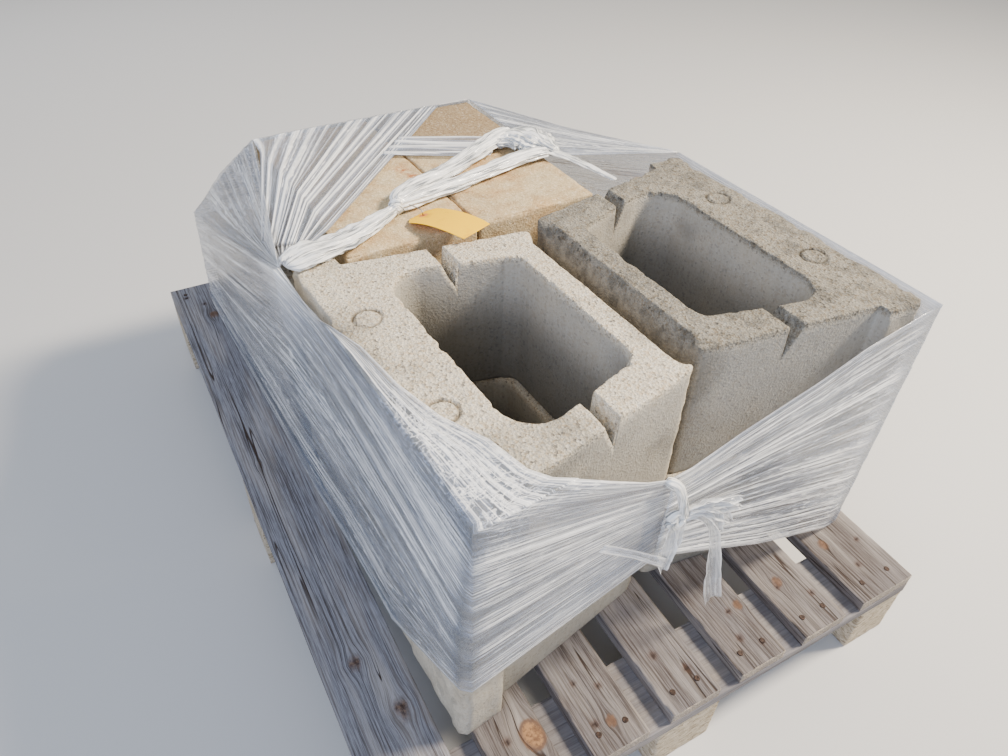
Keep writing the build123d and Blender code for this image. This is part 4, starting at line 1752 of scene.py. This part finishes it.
def film_sheets() -> list[FilmSheet]:
    """All sheets of the wrap, each with its net of control points.

    Returns:
        The sheets, left side first and front last.
    """
    foot_left, ridge_left = (-322, 516, 338), (-226.5, 337.5, 533)
    foot_right, ridge_right = (333, 516, 338), (160, 346.5, 533)
    pinch = (-298, -58, 543)
    xs = (-36, -10, 57, 170, 241, 340, 368)
    bow = [(share, tuple(on_front(x, z) for x, z in zip(xs, heights))) for share, heights in (
        (0.0, (473, 474, 491, 512, 531, 543, 541)), (0.3, (440, 440, 446, 455, 462, 470, 472)),
        (0.6, (400, 399, 388, 358, 336, 306, 300)), (1.0, (334, 326, 288, 222, 188, 142, 137)))]
    return [
        FilmSheet("film_side", ("film_left", "film_front_left", "film_lap"), side_net(),
                  (-0.6, -0.6, 0.5), ("upper_block_left_cast", "lower_block_left_cast"), 3,
                  220, 84, pleat=1.5, gather=(0, 0.1), pinched=((*pinch, 60),),
                  pressed=((-283, -512, 19),),
                  crumpled=((-245, -480, 541, 55), (-265, -380, 541, 50))),
        FilmSheet("film_shoulder", ("film_left_shoulder", "film_left_ledge"), (
            (0.0, (pinch, (-311, 230, 438), foot_left)),
            (0.5, (pinch, (-284, 215, 470), (-268, 430, 448))),
            (1.0, (pinch, (-250, 200, 524), ridge_left)),
        ), (-0.7, 0.2, 0.7), ("solid_block_left_cast",), 7, 90, 36, gather=(0.25, 0),
            pinched=((*pinch, 60),), roll=0.1),
        FilmSheet("film_folds", ("film_fan",), (
            (0.0, (pinch, (-292, 60, 512), (-229, 285, 532), ridge_left)),
            (0.12, ((-297, -58, 545), (-289, 50, 514), (-224, 226, 534.5), (-170, 341, 533.5))),
            (0.3, ((-295, -58, 547), (-284, 20, 524), (-217, 160, 535), (-105, 342, 533.5))),
            (0.6, ((-290, -57, 549), (-266, -5, 537), (-216, 93, 535), (0, 344, 533.5))),
            (1.0, ((-280, -56, 551), (-250, -25, 544), (-212, 15, 536), (104, 345, 533.5))),
        ), (0, 0, 1), ("solid_block_left_cast", "solid_block_right_cast"), 11, 230, 54,
            pleat=1.4, gather=(0.15, 0), roll=0.1, strands=13),
        FilmSheet("film_crossing", (), (
            (0.0, ((-12, 246, 535), (60, 212, 534.5), (128, 168, 538))),
            (1.0, ((-66, 196, 535), (5, 158, 534.5), (84, 118, 537))),
        ), (0, 0, 1), ("solid_block_right_cast",), 29, 70, 24, pleat=1.2, gather=(0.1, 0.1),
            roll=0.2, strands=4, strand_rise=2.0),
        FilmSheet("film_strap_crossed", (), (
            (0.0, ((-130, -521, 444), (-80, -518, 398), (-26, -514, 345))),
            (1.0, ((-137, -521, 436), (-86, -518, 390), (-30, -514, 330))),
        ), (0, -1, 0), ("film_side",), 31, 12, 24, pleat=0.8, gather=(0.2, 0.3)),
        FilmSheet("film_back_wrap", ("film_back", "film_back_slope"), (
            (0.0, (ridge_left, (-30, 342, 533), ridge_right)),
            (0.25, ((-278, 436, 430), (-20, 425, 425), (246, 438, 430))),
            (0.5, (foot_left, (0, 517, 338), foot_right)),
            (1.0, ((-331, 516.5, 137), (0, 517, 137), (333, 516.5, 137))),
        ), (0, 1, 0.4), ("rear_block_left_cast", "rear_block_right_cast"), 13, 120, 40,
            gather=(0, 0)),
        FilmSheet("film_right_wrap", ("film_right",), (
            (0.0, ((371, -477, 541.5), (353, -8, 542), (333, 516, 338))),
            (0.5, ((371, -477, 338), (353, -8, 338), (333, 516, 238))),
            (1.0, ((371, -477, 137), (353, -8, 137), (333, 516, 137))),
        ), (1, 0, 0), ("lower_block_right_cast", "rear_block_right_cast"), 17, 120, 44,
            gather=(0.1, 0)),
        FilmSheet("film_pane", ("film_right_shoulder", "film_right_pane"), (
            (0.0, ((349, -9, 542), (250, 42, 538), (166, 90, 533))),
            (0.5, ((350, -7, 542), (250, 165, 535), ridge_right)),
            (1.0, ((351, -5, 540), (343, 250, 440), foot_right)),
        ), (0.5, 0.2, 0.9), ("solid_block_right_cast", "upper_block_right_cast"), 19, 90, 30,
            pleat=1.6, gather=(0.35, 0), roll=0.15),
        FilmSheet("film_bow", ("film_front_right",), tuple(bow), (0, -1, 0),
                  ("lower_block_right_cast", "upper_block_right_cast"), 23, 200, 44,
                  pleat=1.8, gather=(0.2, 0), pressed=((368, -478, 19),)),
    ]


@dataclass
class FilmRope:
    """A run of bunched film: a pleated tube whose section swells and flattens.

    Each stop is (x, y, z, half width, half height) along the middle line.
    """

    name: str
    replaces: tuple[str, ...]
    stops: tuple[tuple[float, float, float, float, float], ...]
    seed: int
    pleats: int = 9
    turns: float = 1.0
    length_cells: int = 90
    round_cells: int = 40
    depth: float = 0.22

    def build(self, material: Material) -> None:
        """Make the tube.

        Formula: about a smooth line, a point at angle a lies at the half width times
        cos a to the side and the half height times sin a upwards; both swell by pleats
        that turn slowly along the line and by noise, and shrink to nothing at the ends.

        Args:
            material: the finish.
        """
        line = curve(self.stops, self.length_cells)
        centre = line[:, :3]
        side, lift = (axis[:, None] for axis in frame_along(centre, (0, 0, 1)))
        share = np.linspace(0.0, 1.0, self.length_cells)[:, None]
        angle, around = circle(self.round_cells)
        turn = angle + 2 * np.pi * self.turns * share
        where = joined(12.0 * np.cos(turn), 12.0 * np.sin(turn), share * 90.0)
        pleat = np.sin(self.pleats * turn + 2.0 * noise(where, 9.0, self.seed))
        swell = 1 + self.depth * (0.6 * pleat + 1.2 * noise(where, 7.0, self.seed + 1, 2))
        taper = np.sqrt(np.minimum(np.minimum(share, 1 - share) * self.length_cells / 3.0, 1.0))
        out = around * line[:, None, 3:] * (swell * taper)[..., None]
        grid = centre[:, None] + side * out[..., :1] + lift * out[..., 1:]
        run = np.concatenate([[0.0], np.cumsum(lengths(centre))])
        put_mesh(self.name, grid, grid_quads(*grid.shape[:2], TUBE)[:, ::-1], material,
                 self.replaces, weld=True,
                 uv=joined(run[:, None], turn * line[:, 3].mean()) * MM)


ROPES = (
    FilmRope("rope_of_film", ("film_rope",), (
        (-293, -62, 545, 16, 5), (-262, -50, 549, 24, 7), (-222, -36, 543, 21, 7),
        (-180, -16, 541, 16, 7), (-140, 6, 541, 11, 7), (-116, 20, 541, 6, 6)), 31, turns=0.12,
        round_cells=64),
    FilmRope("tied_knot", ("film_knot",), (
        (-122, 14, 541, 6, 6), (-116, 20, 542, 10, 9), (-108, 27, 543, 10, 10),
        (-100, 32, 541, 8, 8)), 37, pleats=7, length_cells=34),
    FilmRope("loop_far_strand", ("film_loop",), (
        (-112, 24, 542, 6, 6), (-102, 42, 544, 15, 10), (-60, 66, 543, 16, 9),
        (-10, 88, 541, 15, 8), (35, 112, 541, 14, 8), (85, 142, 543, 15, 9),
        (122, 162, 545, 16, 9), (150, 168, 545, 12, 7)), 41, turns=0.1, length_cells=120,
        round_cells=60),
    FilmRope("loop_near_strand", (), (
        (-112, 22, 541, 6, 6), (-92, 28, 542, 12, 9), (-40, 44, 540, 13, 8),
        (30, 62, 539, 13, 7), (90, 80, 540, 14, 7), (140, 88, 542, 15, 8),
        (170, 84, 542, 10, 6)), 43, turns=0.1, length_cells=120, round_cells=60),
    FilmRope("bunched_end", ("film_bunch",), (
        (100, 146, 543, 12, 6), (128, 150, 545, 24, 8), (150, 138, 546, 34, 10),
        (166, 116, 545, 30, 10), (176, 94, 543, 16, 7), (184, 80, 541, 9, 4)), 47, pleats=15,
        depth=0.3, turns=0.2, length_cells=80, round_cells=80),
    FilmRope("film_strap", ("film_band",), (
        (166, 92, 541, 11, 3), (184, 66, 540, 9, 2.4), (200, 20, 539, 7, 2),
        (213, -36, 538, 5, 2)), 53, pleats=5, turns=0.1),
    FilmRope("front_tied_knot", ("front_knot",), (
        (-50, -505, 477, 4, 5), (-40, -509, 474, 5, 6), (-29, -511, 456, 5, 5),
        (-22, -512, 432, 5, 5), (-17, -511, 410, 6, 6), (-26, -511, 400, 7, 7),
        (-34, -510, 412, 7, 7), (-30, -511, 424, 5, 5), (-23, -511, 416, 3, 3)), 59, pleats=5,
        turns=0.6, length_cells=110, round_cells=36),
)


@dataclass
class Ribbon:
    """Loose strip of film: a limp ribbon with curled edges that fans out along its run."""

    name: str
    path: tuple[Point, ...]
    widths: Point
    seed: int
    replaces: tuple[str, ...] = ()
    curl: float = 4.0
    gather: float = 0.1
    rows: int = 22
    columns: int = 60
    slack: float = 1.1

    def build(self, material: Material) -> None:
        """Formula: a smooth line gives the middle; across it the ribbon curls into a
        gutter that turns and changes its width by noise.

        Args:
            material: the finish.
        """
        line = curve(self.path, self.columns)
        ahead = unit(np.gradient(line, axis=0))
        share = np.linspace(0, 1, self.columns)
        side = np.cross(ahead, [0.0, -1.0, 0.0])
        side[:, 1] += 0.5 * np.sin(0.5 * np.sin(share * 6.0 + self.seed))
        side = unit(side - ahead * np.sum(side * ahead, -1, keepdims=True))
        across = np.linspace(-0.5, 0.5, self.rows)[:, None]
        where = joined(across * 60.0, share * 120.0, self.seed * 9.0)
        wide = np.interp(share, [0.0, 0.6, 1.0], self.widths)
        wide = wide * (1 + 0.2 * noise(where * [0, 1, 1], 20.0, 3, 2))
        curl = self.curl * (np.cos(across * 4.4) + 0.6 * noise(where, 11.0, 4, 2))
        grid = (line + side * (across * wide)[..., None]
                + np.cross(ahead, side) * curl[..., None])
        length, width = float(lengths(line).sum()) * MM, float(wide.mean()) * MM
        gather = self.gather + 0.5 * bell(0.5 - np.abs(across), 0.07) + 0.4 * bell(share, 0.12)
        piece = put_mesh(self.name, grid, grid_quads(self.rows, self.columns, OPEN), material,
                         self.replaces, sheet=FILM_MM,
                         uv=joined(share * length, (across + 0.5) * width),
                         marks={"gather": gather})


RIBBONS = (
    Ribbon("loose_tail", ((-14, -512, 408), (0, -515, 410), (18, -516, 394), (36, -516, 356),
                          (50, -515, 310), (62, -514, 262), (74, -513, 215), (88, -512, 176)),
           (9, 24, 26), 3, ("front_tail",)),
    Ribbon("knot_veil", ((-28, -512, 404), (-31, -514, 380), (-32, -515, 350), (-28, -515, 322)),
           (22, 24, 9), 4, curl=3.0, columns=34),
    Ribbon("knot_veil_right", ((-20, -512, 404), (-18, -514, 385), (-20, -515, 362)),
           (13, 14, 7), 8, curl=2.0, rows=12, columns=20),
    Ribbon("tuft_upper", ((-12, -512, 418), (8, -517, 424), (30, -520, 418), (58, -521, 412)),
           (8, 22, 5), 5, curl=5.0, columns=40),
    Ribbon("tuft_high", ((-10, -512, 418), (10, -517, 420), (34, -520, 408), (60, -521, 396)),
           (8, 16, 6), 9, columns=40),
    Ribbon("tuft_middle", ((-10, -512, 412), (12, -517, 412), (34, -520, 396), (54, -520, 372)),
           (10, 16, 5), 7, rows=16, columns=36),
    Ribbon("tuft_lower", ((-12, -512, 414), (12, -518, 412), (30, -521, 392), (40, -521, 362)),
           (8, 16, 6), 6, columns=40),
)


# Stage


@dataclass
class Studio:
    """Floor, soft lights and the camera at the photograph's viewing angle."""

    place: Point = (-454.4, -863.1, 1053.3)
    azimuth: float = 0.53306
    elevation: float = 0.71519
    roll: float = -0.04036
    focal_px: float = 762.39
    frame_px: float = 1008.0
    sensor_mm: float = 36.0
    floor_half: float = 12.0
    floor_z: float = -0.0005
    aim: Point = (0.0, 0.0, 0.3)

    def camera(self) -> None:
        """Make the camera.

        Formula: forward is (sin a cos e, cos a cos e, -sin e), right is (cos a, -sin a,
        0), and both image axes are turned about forward by the roll.
        """
        a, e, r = self.azimuth, self.elevation, self.roll
        forward = Vector((math.sin(a) * math.cos(e), math.cos(a) * math.cos(e), -math.sin(e)))
        right = Vector((math.cos(a), -math.sin(a), 0.0))
        down = forward.cross(right)
        axes = Matrix((math.cos(r) * right + math.sin(r) * down,
                       math.sin(r) * right - math.cos(r) * down, -forward)).transposed()
        data = bpy.data.cameras.new("camera")
        data.sensor_width = self.sensor_mm
        data.lens = self.focal_px * self.sensor_mm / self.frame_px
        data.clip_start, data.clip_end = 0.05, 50.0
        camera = put_object("camera", data)
        camera.matrix_world = Matrix.Translation(Vector(self.place) * MM) @ axes.to_4x4()
        bpy.context.scene.camera = camera

    def floor(self) -> None:
        """Lay a pale floor a hair below the feet."""
        mesh = bpy.data.meshes.new("floor")
        corners = ((-1, -1), (1, -1), (1, 1), (-1, 1))
        mesh.from_pydata([(x * self.floor_half, y * self.floor_half, self.floor_z)
                          for x, y in corners], [], [(0, 1, 2, 3)])
        mesh.materials.append(Finish("pale floor").dress(Base_Color="#c9c8c6", Roughness=0.9))
        put_object("floor", mesh)

    def lamp(self, name: str, place: Point, size: float, power: float, colour: str) -> None:
        """Add one soft square light that points at the load.

        Args:
            name: lamp name.
            place: where it hangs, in metres.
            size: side in metres.
            power: watts.
            colour: hex colour.
        """
        data = bpy.data.lights.new(name, "AREA")
        data.shape, data.size, data.energy = "SQUARE", size, power
        data.color = linear(colour)[:3]
        lamp = put_object(name, data)
        lamp.location = place
        lamp.rotation_mode = "QUATERNION"
        lamp.rotation_quaternion = (Vector(self.aim) - Vector(place)).to_track_quat("-Z", "Y")

    def build(self) -> None:
        """Make the camera, the floor, the key from the right, fills and a pale surround."""
        self.camera()
        self.floor()
        self.lamp("key", (2.4, -1.0, 2.9), 0.7, 365.0, "#fff1dc")
        self.lamp("fill", (-2.6, -2.0, 2.4), 2.4, 112.0, "#cfdfff")
        self.lamp("rim", (-0.5, 3.2, 2.2), 2.0, 35.0, "#eef3ff")
        world = bpy.data.worlds.new("surround")
        world.use_nodes = True
        sky = world.node_tree.nodes["Background"].inputs
        sky["Color"].default_value, sky["Strength"].default_value = linear("#e9edf2"), 0.55
        bpy.context.scene.world = world


def main() -> None:
    """Build every group of pieces in order and report each."""
    logging.basicConfig(level=logging.INFO, format="%(name)s %(message)s")
    Studio().build()
    concrete = CastConcrete().make()
    for name, block in WALL_BLOCKS.items():
        WallBlock().build(name, block, concrete)
    SolidBlocks().build(StainedConcrete().make())
    pallet = Pallet()
    pallet.deck_boards(WeatheredWood().make())
    pallet.cross_boards(WeatheredWood("sheltered softwood", contrast=0.35).make())
    pallet.feet(PressedChips().make())
    Nails().build(pallet, RustySteel().make())
    Tag().card(TagCard().make())
    Tag().wire(TagSteel().make())
    film, bunched = StretchFilm().make(), BunchedFilm().make()
    for sheet in film_sheets():
        sheet.build(film)
    for rope in ROPES:
        rope.build(bunched)
    loose = StretchFilm("loose stretch film", gap="#b3b6ba", thin="#d8dbdf").make()
    for ribbon in RIBBONS:
        ribbon.build(loose)


if __name__ == "__main__":
    main()
